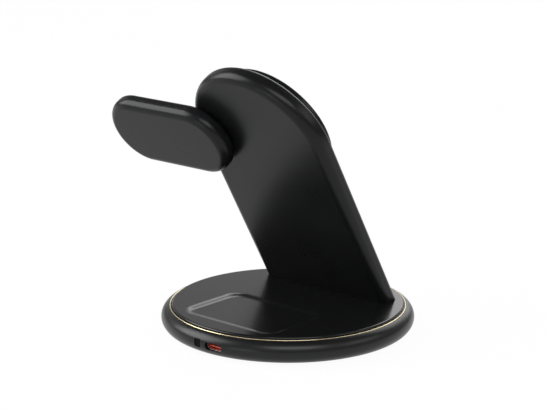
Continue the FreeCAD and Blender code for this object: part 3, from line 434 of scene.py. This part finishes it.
class Wire:
    """An output socket that takes arithmetic, which adds Math nodes."""

    def __init__(self, finish, socket):
        self.finish = finish
        self.socket = socket

    def maths(self, operation, first, second):
        node = self.finish.add("ShaderNodeMath", {"operation": operation}, {0: first, 1: second})
        return Wire(self.finish, node.outputs[0])

    def __add__(self, other):
        return self.maths("ADD", self, other)

    __radd__ = __add__

    def __sub__(self, other):
        return self.maths("SUBTRACT", self, other)

    def __rsub__(self, other):
        return self.maths("SUBTRACT", other, self)

    def __mul__(self, other):
        return self.maths("MULTIPLY", self, other)

    __rmul__ = __mul__

    def above(self, other):
        return self.maths("GREATER_THAN", self, other)

    def wave(self):
        return self.maths("SINE", self, 0.0)


class Finish:
    """A node material that is put together from Object coordinates."""

    def __init__(self, name, tree=None):
        self.material = None
        self.tree = tree
        if tree is None:
            self.material = bpy.data.materials.new(name)
            self.material.use_nodes = True
            self.tree = self.material.node_tree
        self.tree.nodes.clear()
        self.spot = self.wire("ShaderNodeTexCoord", "Object")

    def add(self, kind, settings=None, values=None):
        """Add a node, set it up first and then fill or link its sockets."""
        node = self.tree.nodes.new(kind)
        for key, value in (settings or {}).items():
            setattr(node, key, value)
        for key, value in (values or {}).items():
            socket = node.inputs[key]
            if isinstance(value, Wire):
                self.tree.links.new(value.socket, socket)
            else:
                socket.default_value = value
        return node

    def wire(self, kind, output, settings=None, values=None):
        return Wire(self, self.add(kind, settings, values).outputs[output])

    def noise(self, scale, detail=4.0, spot=None):
        values = {"Vector": spot or self.spot, "Scale": scale, "Detail": detail}
        return self.wire("ShaderNodeTexNoise", "Fac", None, values)

    def grains(self, scale):
        values = {"Vector": self.spot, "Scale": scale}
        return self.wire("ShaderNodeTexVoronoi", "Distance", None, values)

    def mix(self, factor, first, second):
        """Blend two colours."""
        values = {0: factor, 6: first, 7: second}
        return self.wire("ShaderNodeMix", 2, {"data_type": "RGBA"}, values)

    def axes(self):
        """The three Object coordinates as numbers."""
        node = self.add("ShaderNodeSeparateXYZ", None, {"Vector": self.spot})
        return [Wire(self, output) for output in node.outputs]

    def moved(self, offset, turn_x):
        """Object coordinates with a pattern's own centre and lean."""
        values = {"Vector": self.spot, "Location": offset, "Rotation": (turn_x, 0.0, 0.0)}
        return self.wire("ShaderNodeMapping", 0, {"vector_type": "TEXTURE"}, values)

    def stretched(self, spot, shares):
        """Coordinates times a share for each axis."""
        return self.wire("ShaderNodeVectorMath", 0, {"operation": "MULTIPLY"}, {0: spot, 1: shares})

    def radius_of(self, spot):
        """Distance from the upright axis of a pattern."""
        flat = self.stretched(spot, (1.0, 1.0, 0.0))
        return self.wire("ShaderNodeVectorMath", "Value", {"operation": "LENGTH"}, {0: flat})

    def ramp(self, value, start, end, low, high):
        """Go smoothly from low to high while a value goes from start to end."""
        settings = {"interpolation_type": "SMOOTHSTEP"}
        values = {0: value, 1: start, 2: end, 3: low, 4: high}
        return self.wire("ShaderNodeMapRange", 0, settings, values)

    def bump(self, height, strength, distance):
        values = {"Height": height, "Strength": strength, "Distance": distance}
        return self.wire("ShaderNodeBump", 0, None, values)

    def close(self, shader):
        """Link the last shader to the output."""
        output = self.add("ShaderNodeOutputMaterial")
        self.tree.links.new(shader.outputs[0], output.inputs[0])
        return self.material

    def surface(self, base, rough, relief, metallic=0.0, specular=0.5):
        """Close the material with a Principled shader."""
        return self.close(self.add("ShaderNodeBsdfPrincipled", None, {
            "Base Color": base, "Roughness": rough, "Normal": relief,
            "Metallic": metallic, "Specular IOR Level": specular,
        }))


def shaded(tint, share):
    """A colour made darker or lighter."""
    return tuple(share * part for part in tint[:3]) + (1.0,)


def moulded(name, tint, patches, gloss, grain, specular):
    """Satin moulded plastic: slow drifts of tone and gloss over a fine eroded texture."""
    finish = Finish(name)
    drift = finish.noise(38.0, detail=3.0)
    fine = finish.noise(2600.0, detail=2.0)
    specks = finish.noise(900.0, detail=5.0)
    base = tint
    if patches != tint:
        base = finish.mix(drift * 0.7 + specks * 0.3, tint, patches)
    rough = gloss + (drift - 0.5) * 0.06 + (specks - 0.5) * 0.05
    relief = finish.bump(fine * 0.6 + specks * 0.4, strength=0.22, distance=grain)
    return finish.surface(base, rough, relief, specular=specular)


def soft_touch(name, tint):
    """Matt rubbery coat with a close pebble."""
    finish = Finish(name)
    pebble = finish.grains(1700.0)
    cloud = finish.noise(60.0)
    base = finish.mix(cloud * 0.6 + pebble * 0.4, tint, shaded(tint, 1.6))
    relief = finish.bump(pebble, strength=0.35, distance=0.06 * MM)
    return finish.surface(base, 0.58 + cloud * 0.14, relief, specular=0.3)


def turned_metal(name, tint, gloss, lines):
    """Polished metal with fine turning lines round the upright axis."""
    finish = Finish(name)
    tracks = (finish.radius_of(finish.spot) * lines).wave() * 0.5 + 0.5
    smear = finish.noise(90.0)
    base = finish.mix(smear * 0.6 + tracks * 0.2, tint, shaded(tint, 0.82))
    rough = gloss + tracks * 0.05 + (smear - 0.5) * 0.08
    relief = finish.bump(tracks, strength=0.08, distance=0.02 * MM)
    return finish.surface(base, rough, relief, metallic=1.0)


def drawn_metal(name, tint, gloss):
    """Plated or rolled metal with small scratches and stains."""
    finish = Finish(name)
    scratch = finish.noise(700.0, detail=6.0, spot=finish.stretched(finish.spot, (1.0, 9.0, 1.0)))
    stain = finish.noise(120.0)
    base = finish.mix(stain * 0.7 + scratch * 0.3, tint, shaded(tint, 0.6))
    rough = gloss + (scratch - 0.5) * 0.2 + (stain - 0.5) * 0.1
    relief = finish.bump(scratch, strength=0.12, distance=0.03 * MM)
    return finish.surface(base, rough, relief, metallic=1.0)


def wound_copper(name, tint, offset, turn_x, pitch):
    """Enamelled wire in rings about the coil's own axis, with painted shade in the grooves between
    the turns.
    """
    finish = Finish(name)
    spot = finish.moved(offset, turn_x)
    wire_turns_and_groove_shade = (finish.radius_of(spot) * (2 * math.pi / pitch)).wave() * 0.5 + 0.5
    patina = finish.noise(220.0, detail=3.0)
    # The colour goes dark where the wire's sine is low: painted shade in the grooves between the
    # turns
    base = finish.mix(wire_turns_and_groove_shade * 0.75 + patina * 0.2, shaded(tint, 0.25), tint)
    relief = finish.bump(wire_turns_and_groove_shade, strength=0.8, distance=0.1 * MM)
    return finish.surface(base, 0.24 + patina * 0.16, relief, metallic=0.85)


def lacquered_board(name, tint):
    """Solder-masked board with raised tracks and bare pads."""
    finish = Finish(name)
    x, y, _ = finish.axes()
    tracks = (x * 5200.0 + finish.noise(260.0, detail=2.0) * 9.0).wave().above(0.62)
    lanes = (y * 4100.0 + finish.noise(210.0, detail=2.0) * 11.0).wave().above(0.7)
    pads = 1.0 - finish.grains(620.0).above(0.16)
    copper = tracks * 0.5 + lanes * 0.4
    bare_pad = (0.66, 0.58, 0.36, 1.0)
    base = finish.mix(pads, finish.mix(copper, tint, shaded(tint, 2.4)), bare_pad)
    relief = finish.bump(copper + pads * 0.5, strength=0.5, distance=0.04 * MM)
    return finish.surface(base, 0.3 + pads * 0.08, relief, metallic=pads * 0.9)


def pressed_powder(name, tint):
    """Pressed ferrite with pale grains and small pits."""
    finish = Finish(name)
    grain = finish.grains(1300.0)
    cloud = finish.noise(150.0, detail=5.0)
    base = finish.mix(grain * 0.5 + cloud * 0.4, tint, shaded(tint, 2.2))
    relief = finish.bump(grain, strength=0.45, distance=0.08 * MM)
    return finish.surface(base, 0.62 + cloud * 0.2, relief)


def tongue_plastic(name, tint):
    """Glass-filled moulding of the socket's tongue."""
    finish = Finish(name)
    flow = finish.noise(500.0)
    base = finish.mix(flow, tint, shaded(tint, 0.6))
    relief = finish.bump(flow, strength=0.2, distance=0.03 * MM)
    return finish.surface(base, 0.38 + flow * 0.14, relief)


# How each finish is made: its function, its colours and its other settings
RECIPES = {
    "satin_black": (moulded, "shell shell_worn", dict(gloss=0.29, grain=0.01 * MM, specular=0.2)),
    "rim_black": (moulded, "shell shell_worn", dict(gloss=0.32, grain=0.01 * MM, specular=0.3)),
    "polished_black": (moulded, "disc disc", dict(gloss=0.2, grain=0.006 * MM, specular=0.3)),
    "matt_black": (moulded, "shell shell", dict(gloss=0.5, grain=0.02 * MM, specular=0.03)),
    "chip_black": (moulded, "component soft", dict(gloss=0.5, grain=0.03 * MM, specular=0.4)),
    "soft_rubber": (soft_touch, "soft", {}),
    "polished_gold": (turned_metal, "gold", dict(gloss=0.2, lines=46000.0)),
    "bright_steel": (drawn_metal, "steel", dict(gloss=0.34)),
    "socket_plate": (drawn_metal, "socket", dict(gloss=0.26)),
    "nickel": (drawn_metal, "magnet", dict(gloss=0.26)),
    "socket_red": (tongue_plastic, "tongue", {}),
    "green_board": (lacquered_board, "circuit", {}),
    "dark_ferrite": (pressed_powder, "ferrite", {}),
}


def finish_of(name):
    """The finished material of that name, made once."""
    made = bpy.data.materials.get(name)
    if made is None:
        maker, shades, settings = RECIPES[name]
        colours = bpy.context.scene.charger_finishes
        made = maker(name, *(tuple(getattr(colours, key)) for key in shades.split()), **settings)
    return made


# Base


def socket_ends(base):
    """Middles of the socket's two round ends, as it is drawn upright."""
    half = (base.socket_width - base.socket_height) / 2
    return (base.socket_x - half, -base.socket_z), (base.socket_x + half, -base.socket_z)


class CHARGER_OT_base_rim(bpy.types.Operator):
    """Turn the base's rounded rim and cut the socket's mouth and the button's window"""

    bl_idname = "charger.base_rim"
    bl_label = "Base rim"

    def execute(self, context):
        base = context.scene.charger_base
        middle_r = BASE_RADIUS - base.rim_round
        middle_z = RIM_TOP - base.rim_round
        wall_r = BASE_RADIUS - base.wall
        seat_r = base.disc_radius + base.seat_gap
        deck_low = DISC_LOW - base.deck
        groove_in = base.trim_radius - base.trim_width / 2 - base.seat_gap / 2
        groove_out = base.trim_radius + base.trim_width / 2 + base.seat_gap / 2
        groove_low = RIM_TOP + base.trim_rise - base.trim_depth

        def angle_at(radius):
            return math.degrees(math.acos((radius - middle_r) / base.rim_round))

        def rim_arc(first, last, steps):
            return arc(middle_r, middle_z, base.rim_round, first, last, steps)

        section = [(0.0, deck_low), (wall_r, deck_low)]
        section += rim_arc(-angle_at(wall_r), angle_at(groove_out), RIM_STEPS)
        section += [(groove_out, groove_low), (groove_in, groove_low)]
        section += rim_arc(angle_at(groove_in), angle_at(seat_r), SMALL_STEPS)
        section += [(seat_r, DISC_LOW), (0.0, DISC_LOW)]
        rim = turn("base_rim", section)

        reach = BASE_RADIUS + base.wall
        deep = BASE_RADIUS - 3 * base.wall
        mouth_r = base.socket_height / 2 + base.seat_gap
        mouth = capsule("socket_mouth", *socket_ends(base), mouth_r, deep, reach)
        carve(rim, tip_back(mouth))
        wide = base.button_width + 2 * base.seat_gap
        high = base.button_height + 2 * base.seat_gap
        window = rounded_block(
            "button_window", (base.button_x, -base.button_z, (deep + reach) / 2),
            (wide, high, reach - deep), base.button_round + base.seat_gap, SMALL_STEPS,
        )
        carve(rim, tip_back(window))
        close(rim)
        dress(rim, "rim_black", "base", "black_shell", "base_shell")
        return {"FINISHED"}


class CHARGER_OT_base_disc(bpy.types.Operator):
    """Model the top disc with its rounded lip and the soft-edged earbud tray"""

    bl_idname = "charger.base_disc"
    bl_label = "Top disc and tray"

    def execute(self, context):
        base = context.scene.charger_base
        clear()
        bpy.ops.mesh.primitive_cylinder_add(
            vertices=ROUND_STEPS, radius=base.disc_radius, depth=BASE_TOP - DISC_LOW,
            location=(0.0, 0.0, (BASE_TOP + DISC_LOW) / 2),
        )
        disc = begin("base_disc")
        soften(disc, flat_at(BASE_TOP), base.disc_edge)

        floor = BASE_TOP - base.tray_depth
        high = BASE_TOP + base.tray_depth
        wide = base.tray_width - 2 * base.tray_slope
        long = base.tray_length - 2 * base.tray_slope
        cutter = rounded_block(
            "tray_cutter", (0.0, base.tray_y, BASE_TOP), (wide, long, high - floor),
            base.tray_round - base.tray_slope, TRAY_STEPS,
        )
        pick(cutter, "FACE", lambda f: f.calc_center_median().z > high - NEAR)
        # The cutter stands as far above the disc as it goes into it, so its top flares twice over
        flare = 4 * base.tray_slope
        bpy.ops.transform.resize(value=(1.0 + flare / wide, 1.0 + flare / long, 1.0))
        carve(disc, cutter)
        reopen(disc)
        inside = base.disc_radius - 2 * base.disc_edge

        def on_lip(edge):
            near = all(corner.co.xy.length < inside for corner in edge.verts)
            return near and flat_at(BASE_TOP, CREASE)(edge)

        soften(disc, on_lip, base.tray_lip)
        soften(disc, flat_at(floor, CREASE), base.tray_fillet, FILLET_STEPS)
        close(disc)
        dress(disc, "polished_black", "base", "black_inlay", "base_inlay")
        return {"FINISHED"}


class CHARGER_OT_trim_ring(bpy.types.Operator):
    """Turn the gold ring that lies between the rim and the disc"""

    bl_idname = "charger.trim_ring"
    bl_label = "Trim ring"

    def execute(self, context):
        base = context.scene.charger_base
        top = RIM_TOP + base.trim_rise
        low = top - base.trim_depth
        inner = base.trim_radius - base.trim_width / 2
        outer = base.trim_radius + base.trim_width / 2
        edge = base.trim_edge
        section = [(inner, low), (outer, low)]
        section += arc(outer - edge, top - edge, edge, 0.0, 90.0, SMALL_STEPS)
        section += arc(inner + edge, top - edge, edge, 90.0, 180.0, SMALL_STEPS)
        ring = turn("trim_ring", section)
        dress(ring, "polished_gold", "base", "gold_trim", "gold_trim_ring")
        return {"FINISHED"}


class CHARGER_OT_socket(bpy.types.Operator):
    """Model the socket's drawn shell and the moulding inside it, with its tongue and its lining"""

    bl_idname = "charger.socket"
    bl_label = "Power socket"

    def execute(self, context):
        base = context.scene.charger_base
        low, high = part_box("usb_c_shell")
        back, front = low.y, high.y
        left, right = socket_ends(base)
        outside = base.socket_height / 2
        inside = outside - base.socket_sheet
        shell = capsule("socket_shell", left, right, outside, back, front)
        bore = capsule("socket_bore", left, right, inside, back - base.wall, front + base.wall)
        carve(shell, bore)
        reopen(shell)
        soften(shell, flat_at(front, CORNER), base.socket_sheet / 3, SHEET_STEPS)
        close(tip_back(shell))
        dress(shell, "socket_plate", "base", "socket_shell", "usb_c_shell")

        blade_front = front - base.tongue_recess
        blade_back = back + base.plug_length
        blade_round = base.tongue_thickness / 4
        tongue = rounded_block(
            "socket_tongue", (base.socket_x, -base.socket_z, (blade_front + blade_back) / 2),
            (base.tongue_width, base.tongue_thickness, blade_front - blade_back),
            blade_round, FINE_STEPS,
        )
        soften(tongue, flat_at(blade_front), blade_round, FINE_STEPS)
        block_r = inside - base.seat_gap / 2
        block = capsule("socket_block", left, right, block_r, back, blade_back)
        lining = capsule("socket_lining", left, right, inside, blade_back, blade_front)
        room = capsule("socket_room", left, right, inside - base.lining, back, front)
        carve(lining, room)
        only(tongue)
        block.select_set(True)
        lining.select_set(True)
        bpy.ops.object.join()
        close(tip_back(tongue))
        dress(tongue, "socket_red", "base", "socket_tongue", "usb_c_tongue")
        return {"FINISHED"}


class CHARGER_OT_button(bpy.types.Operator):
    """Model the light button's cap"""

    bl_idname = "charger.button"
    bl_label = "Light button"

    def execute(self, context):
        base = context.scene.charger_base
        low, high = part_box("light_button")
        cap = rounded_block(
            "button_cap", (base.button_x, -base.button_z, (low.y + high.y) / 2),
            (base.button_width, base.button_height, high.y - low.y), base.button_round, SMALL_STEPS,
        )
        soften(cap, flat_at(high.y), base.button_round / 2, LIP_STEPS)
        close(tip_back(cap))
        dress(cap, "matt_black", "light_button", "button_black", "light_button")
        return {"FINISHED"}


# Stand


def board_half(name, low, high, stand):
    """One half of the board: a round-topped outline, drawn and extruded in the board's frame."""
    clear()
    bpy.ops.mesh.primitive_circle_add(
        vertices=ROUND_STEPS, radius=stand.width / 2, fill_type="NOTHING",
        location=(0.0, stand.arc_at, low),
    )
    half = begin(name)
    pick(half, "VERT", lambda v: v.co.y < stand.arc_at - NEAR)
    bpy.ops.mesh.delete(type="VERT")
    pick(half, "VERT", lambda v: v.co.y < stand.arc_at + NEAR)
    # The sides run on past the foot, which is trimmed after the lean
    drop = (0.0, -stand.arc_at - 3 * stand.thickness, 0.0)
    bpy.ops.mesh.extrude_vertices_move(TRANSFORM_OT_translate={"value": drop})
    bpy.ops.mesh.edge_face_add()
    bpy.ops.mesh.select_all(action="SELECT")
    bpy.ops.mesh.edge_face_add()
    thicken(high - low)
    return half


def cut_foot(piece):
    """Trim a leaning piece level with the top of the base."""
    reopen(piece)
    bpy.ops.mesh.select_all(action="SELECT")
    bpy.ops.mesh.bisect(
        plane_co=(0.0, 0.0, BASE_TOP), plane_no=(0.0, 0.0, 1.0),
        use_fill=True, clear_inner=True, threshold=NEAR,
    )
    return close(piece)


class CHARGER_OT_board(bpy.types.Operator):
    """Model the leaning board as a hollow rear half and a front cover"""

    bl_idname = "charger.board"
    bl_label = "Stand board"

    def execute(self, context):
        stand = context.scene.charger_stand
        arm = context.scene.charger_arm
        back = board_half("stand_back", 0.0, stand.split, stand)
        soften(back, flat_at(0.0), stand.back_round, BROAD_STEPS)
        soften(back, flat_at(stand.split), stand.seam, SEAM_STEPS)
        clear()
        bpy.ops.mesh.primitive_circle_add(
            vertices=ROUND_STEPS, radius=stand.width / 2 - stand.wall, fill_type="NGON",
            location=(0.0, stand.arc_at, stand.wall), rotation=(0.0, 0.0, math.pi / ROUND_STEPS),
        )
        hollow = begin("stand_hollow")
        pick(hollow, "VERT", lambda v: v.co.y < stand.arc_at)
        foot = (0.0, stand.solid_foot, stand.wall)
        bpy.ops.transform.resize(value=(1.0, 0.0, 1.0), center_override=foot)
        thicken(stand.thickness)
        close(hollow)
        carve(back, hollow)
        pivot = (arm.pivot_x, arm.pivot_at)
        carve(back, rod("bush_hole", pivot, arm.bush, -stand.wall, 2 * stand.wall))
        cut_foot(lean(back))
        dress(back, "satin_black", "base", "black_shell", "stand_rear_shell")

        front = board_half("stand_front", stand.split, stand.thickness, stand)
        soften(front, flat_at(stand.thickness), stand.front_round)
        soften(front, flat_at(stand.split), stand.seam, SEAM_STEPS)
        lead = (0.0, stand.pad_at)
        carve(front, rod("lead_hole", lead, stand.pad_lead, 0.0, 2 * stand.thickness))
        cut_foot(lean(front))
        dress(front, "satin_black", "base", "black_shell", "stand_front_cover")
        return {"FINISHED"}


class CHARGER_OT_phone_pad(bpy.types.Operator):
    """Turn the phone pad's cup and its soft face"""

    bl_idname = "charger.phone_pad"
    bl_label = "Phone pad"

    def execute(self, context):
        stand = context.scene.charger_stand
        back = stand.thickness + stand.pad_groove
        front = back + stand.pad_thickness
        floor = back + stand.pad_floor
        edge = stand.pad_edge
        hollow_r = stand.pad_radius - stand.pad_wall
        at = (0.0, stand.pad_at)
        section = [(stand.pad_spigot, stand.thickness), (stand.pad_spigot, back)]
        small = edge / 2
        section += arc(stand.pad_radius - small, back + small, small, -90.0, 0.0, SMALL_STEPS)
        section += arc(stand.pad_radius - edge, front - edge, edge, 0.0, 90.0)
        section += [(hollow_r, front), (hollow_r, floor), (stand.pad_lead, floor)]
        section += [(stand.pad_lead, stand.thickness)]
        cup = lean(turn("phone_cup", section, at))
        dress(cup, "satin_black", "base", "black_shell", "phone_pad_housing")

        face_r = hollow_r - stand.face_gap
        face_low = front - stand.face_thickness
        lip = stand.face_gap
        section = [(0.0, face_low), (face_r, face_low)]
        section += arc(face_r - lip, front - lip, lip, 0.0, 90.0, FINE_STEPS)
        section += [(0.0, front)]
        face = lean(turn("phone_face", section, at))
        dress(face, "soft_rubber", "base", "soft_pad", "phone_pad_face")
        return {"FINISHED"}


# Watch arm


class CHARGER_OT_watch_arm(bpy.types.Operator):
    """Model the hollow halves of the watch arm and the neck that it swivels on"""

    bl_idname = "charger.watch_arm"
    bl_label = "Watch arm"

    def execute(self, context):
        stand = context.scene.charger_stand
        arm = context.scene.charger_arm
        front_n = -arm.gap
        back_n = front_n - arm.thickness
        parting = back_n + arm.split
        pivot = (arm.pivot_x, arm.pivot_at)
        near = (arm.pivot_x + arm.root, arm.pivot_at)
        far = (near[0] + arm.span, arm.pivot_at)

        def hollow_out(half, inwards):
            pick(half, "FACE", lambda f: (
                abs(f.normal.z) > LEVEL and abs(f.calc_center_median().z - parting) < NEAR
            ))
            bpy.ops.mesh.inset(thickness=2 * arm.wall, depth=0.0)
            bpy.ops.mesh.extrude_region_move(TRANSFORM_OT_translate={"value": (0.0, 0.0, inwards)})
            soften(half, flat_at(parting, CORNER), stand.seam, SEAM_STEPS)

        rear = capsule("arm_rear", near, far, arm.radius, back_n, parting)
        soften(rear, flat_at(back_n), arm.back_round, BROAD_STEPS)
        hollow_out(rear, arm.wall - arm.split)
        lean(close(rear))
        dress(rear, "satin_black", "watch_arm", "black_shell", "arm_rear_shell")

        front = capsule("arm_front", near, far, arm.radius, parting, front_n)
        soften(front, flat_at(front_n), arm.front_round, BROAD_STEPS)
        hollow_out(front, arm.thickness - arm.split - arm.wall)
        carve(front, rod("spindle_hole", pivot, arm.spindle, parting, 0.0))
        lean(close(front))
        dress(front, "satin_black", "watch_arm", "black_shell", "arm_front_shell")

        end = -arm.neck_gap
        edge = arm.neck_edge
        section = [(arm.spindle, front_n), (arm.neck_radius, front_n)]
        section += arc(arm.neck_radius - edge, end - edge, edge, 0.0, 90.0, SMALL_STEPS)
        section += [(arm.spindle, end)]
        neck = lean(turn("arm_neck_sleeve", section, pivot))
        dress(neck, "satin_black", "watch_arm", "black_shell", "arm_neck")
        return {"FINISHED"}


class CHARGER_OT_watch_pad(bpy.types.Operator):
    """Turn the watch pad's ring and its dished face"""

    bl_idname = "charger.watch_pad"
    bl_label = "Watch pad"

    def execute(self, context):
        arm = context.scene.charger_arm
        low = -arm.gap
        top = low + arm.watch_height
        at = (arm.pivot_x + arm.root + arm.span, arm.pivot_at)
        inner = arm.watch_radius - arm.watch_wall
        edge = arm.watch_edge
        section = [(inner, low), (arm.watch_radius, low)]
        section += arc(arm.watch_radius - edge, top - edge, edge, 0.0, 90.0)
        section += arc(inner + edge / 3, top - edge / 3, edge / 3, 90.0, 180.0, LIP_STEPS)
        bezel = lean(turn("watch_bezel", section, at))
        dress(bezel, "satin_black", "watch_arm", "black_shell", "watch_pad_ring")

        face_r = inner - arm.watch_gap
        dish_top = low + arm.watch_face
        dish_r = (face_r ** 2 + arm.watch_dish ** 2) / (2 * arm.watch_dish)
        half = math.degrees(math.asin(face_r / dish_r))
        section = [(0.0, low), (face_r, low)]
        section += arc(0.0, dish_top - arm.watch_dish + dish_r, dish_r, -90.0 + half, -90.0)
        face = lean(turn("watch_face", section, at))
        dress(face, "soft_rubber", "watch_arm", "soft_pad", "watch_pad_face")
        return {"FINISHED"}


# Pieces inside, which keep their CAD shapes


class CHARGER_OT_inner_pieces(bpy.types.Operator):
    """Finish the plates, boards, coils, magnets and screws inside the housings"""

    bl_idname = "charger.inner_pieces"
    bl_label = "Inner pieces"

    def execute(self, context):
        copper = tuple(context.scene.charger_finishes.copper)
        pitch = context.scene.charger_finishes.wire_pitch
        tilt = math.pi / 2 - context.scene.charger_stand.lean
        finishes = {
            "satin_black": ("bottom_plate",),
            "soft_rubber": ("foot_pad",),
            "bright_steel": (
                "ballast_plate", "base_screws", "stand_clamp_plate", "stand_foot_screws",
                "stand_cover_screws", "pivot_spindle", "pivot_washer", "pivot_nut",
            ),
            "chip_black": ("board_components", "button_switch", "pivot_bush"),
            "green_board": ("main_board", "phone_board", "watch_board"),
            "dark_ferrite": ("earbud_ferrite", "phone_ferrite", "watch_ferrite"),
            "nickel": ("phone_magnets", "watch_magnet"),
        }
        for name, nodes in finishes.items():
            for node in nodes:
                self.paint(node, finish_of(name))
        for node, turn_x in (("earbud_coil", 0.0), ("phone_coil", tilt), ("watch_coil", tilt)):
            low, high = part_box(node)
            middle = tuple((low + high) / 2)
            self.paint(node, wound_copper("wire_" + node, copper, middle, turn_x, pitch))
        return {"FINISHED"}

    def paint(self, node, finish):
        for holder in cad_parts[node].material_slots:
            holder.material = finish


# Stage

FLOOR_SIZE = 12.0
FLOOR_WHITE = 0.96  # Share of plain white in what the camera and mirrors see of the floor
CAMERA_SPOT = (-0.5542, 0.6376, 0.2791)
CAMERA_WAY = Vector((0.64083, -0.72549, -0.25098))
SENSOR_WIDTH = 36.0
LAMP_AIM = Vector((0.0, 0.0, 0.06))

# Bearing and height in degrees, distance and two sides in metres, and brightness
SOFTBOXES = {
    "key_softbox": (36.0, 32.0, 1.4, 1.1, 0.95, 5.6),
    "front_softbox": (137.0, 44.0, 1.5, 1.1, 0.6, 4.4),
    "low_softbox": (92.0, 4.0, 1.5, 0.6, 0.22, 3.4),
    "side_softbox": (203.0, 34.0, 1.4, 0.9, 0.5, 1.7),
    "back_softbox": (-68.0, 20.0, 1.6, 0.85, 0.75, 1.5),
    "rear_softbox": (-74.0, 38.0, 1.5, 1.3, 0.45, 2.5),
    "strip_softbox": (-49.0, 5.0, 1.7, 1.3, 0.3, 0.6),
}

# Sine of the height where the sky starts and ends to change, and its brightness there
SKY_BAND = (0.08, 0.24, 0.2, 0.58)
SKY_SHADE = (0.38, 0.7, 0.0, 0.4)


class CHARGER_OT_stage(bpy.types.Operator):
    """Lay the pale floor and set the studio lights and the camera"""

    bl_idname = "charger.stage"
    bl_label = "Stage"

    def execute(self, context):
        scene = context.scene
        stage = scene.charger_stage
        scene.view_settings.view_transform = "Standard"
        clear()
        bpy.ops.mesh.primitive_plane_add(size=FLOOR_SIZE)
        floor = context.object
        floor.name = "floor"
        floor.data.materials.append(self.floor_finish(tuple(stage.floor)))
        self.sky(scene)
        for name, settings in SOFTBOXES.items():
            self.softbox(name, *settings)

        bpy.ops.object.camera_add(location=CAMERA_SPOT)
        camera = context.object
        camera.rotation_euler = CAMERA_WAY.to_track_quat("-Z", "Y").to_euler()
        camera.data.lens = stage.lens
        camera.data.sensor_width = SENSOR_WIDTH
        scene.camera = camera
        return {"FINISHED"}

    def softbox(self, name, bearing, height, distance, wide, tall, brightness):
        """Area lamp that faces the stand from a bearing and a height in degrees."""
        a, e = math.radians(bearing), math.radians(height)
        way = Vector((math.cos(e) * math.cos(a), math.cos(e) * math.sin(a), math.sin(e)))
        spot = distance * way
        bpy.ops.object.light_add(type="AREA", location=spot)
        lamp = bpy.context.object
        lamp.name = name
        lamp.rotation_euler = (LAMP_AIM - spot).to_track_quat("-Z", "Y").to_euler()
        lamp.data.shape = "RECTANGLE"
        lamp.data.size, lamp.data.size_y = wide, tall
        lamp.data.energy = brightness * math.pi * wide * tall

    def floor_finish(self, tint):
        """Matt floor that the camera and reflections see as white, with the stand's shadow."""
        finish = Finish("floor_white")
        rays = finish.add("ShaderNodeLightPath").outputs
        seen = Wire(finish, rays["Is Camera Ray"]) + Wire(finish, rays["Is Glossy Ray"])
        seen = seen + Wire(finish, rays["Is Transmission Ray"])
        matt = finish.add("ShaderNodeBsdfDiffuse", None, {"Color": tint})
        glow = {"Color": (1.0, 1.0, 1.0, 1.0), "Strength": 1.0}
        white = finish.add("ShaderNodeEmission", None, glow)
        blend = finish.add("ShaderNodeMixShader", None, {0: seen * FLOOR_WHITE})
        finish.tree.links.new(matt.outputs[0], blend.inputs[1])
        finish.tree.links.new(white.outputs[0], blend.inputs[2])
        return finish.close(blend)

    def sky(self, scene):
        """A dim horizon, a pale band above it and less light overhead, so that edges stay black."""
        world = bpy.data.worlds.new("studio")
        world.use_nodes = True
        scene.world = world
        finish = Finish("studio", world.node_tree)
        way = Wire(finish, finish.spot.socket.node.outputs["Generated"])
        height = finish.wire("ShaderNodeSeparateXYZ", "Z", None, {"Vector": way})
        light = finish.ramp(height, *SKY_BAND) - finish.ramp(height, *SKY_SHADE)
        glow = finish.add("ShaderNodeBackground", None, {"Strength": light})
        output = finish.add("ShaderNodeOutputWorld")
        finish.tree.links.new(glow.outputs[0], output.inputs[0])


class CHARGER_PT_panel(bpy.types.Panel):
    """Sidebar list of the stand's pieces and sizes"""

    bl_idname = "CHARGER_PT_panel"
    bl_label = "Charging stand"
    bl_space_type = "VIEW_3D"
    bl_region_type = "UI"
    bl_category = "Charger"

    def draw(self, context):
        layout = self.layout
        for operator in OPERATORS:
            layout.operator(operator.bl_idname)
        for group, kind in GROUPS.items():
            box = layout.box()
            box.label(text=kind.__doc__)
            for key in kind.__annotations__:
                box.prop(getattr(context.scene, group), key)


OPERATORS = (
    CHARGER_OT_base_rim,
    CHARGER_OT_base_disc,
    CHARGER_OT_trim_ring,
    CHARGER_OT_socket,
    CHARGER_OT_button,
    CHARGER_OT_board,
    CHARGER_OT_phone_pad,
    CHARGER_OT_watch_arm,
    CHARGER_OT_watch_pad,
    CHARGER_OT_inner_pieces,
    CHARGER_OT_stage,
)
GROUPS = {
    "charger_base": BaseSizes,
    "charger_stand": StandSizes,
    "charger_arm": ArmSizes,
    "charger_finishes": Finishes,
    "charger_stage": StageSettings,
}


def register():
    for kind in (*GROUPS.values(), *OPERATORS, CHARGER_PT_panel):
        bpy.utils.register_class(kind)
    for group, kind in GROUPS.items():
        setattr(bpy.types.Scene, group, bpy.props.PointerProperty(type=kind))


def unregister():
    for group in GROUPS:
        delattr(bpy.types.Scene, group)
    for kind in reversed((*GROUPS.values(), *OPERATORS, CHARGER_PT_panel)):
        bpy.utils.unregister_class(kind)


def main():
    register()
    bpy.ops.charger.base_rim()
    bpy.ops.charger.base_disc()
    bpy.ops.charger.trim_ring()
    bpy.ops.charger.socket()
    bpy.ops.charger.button()
    bpy.ops.charger.board()
    bpy.ops.charger.phone_pad()
    bpy.ops.charger.watch_arm()
    bpy.ops.charger.watch_pad()
    bpy.ops.charger.inner_pieces()
    bpy.ops.charger.stage()


if __name__ == "__main__":
    main()
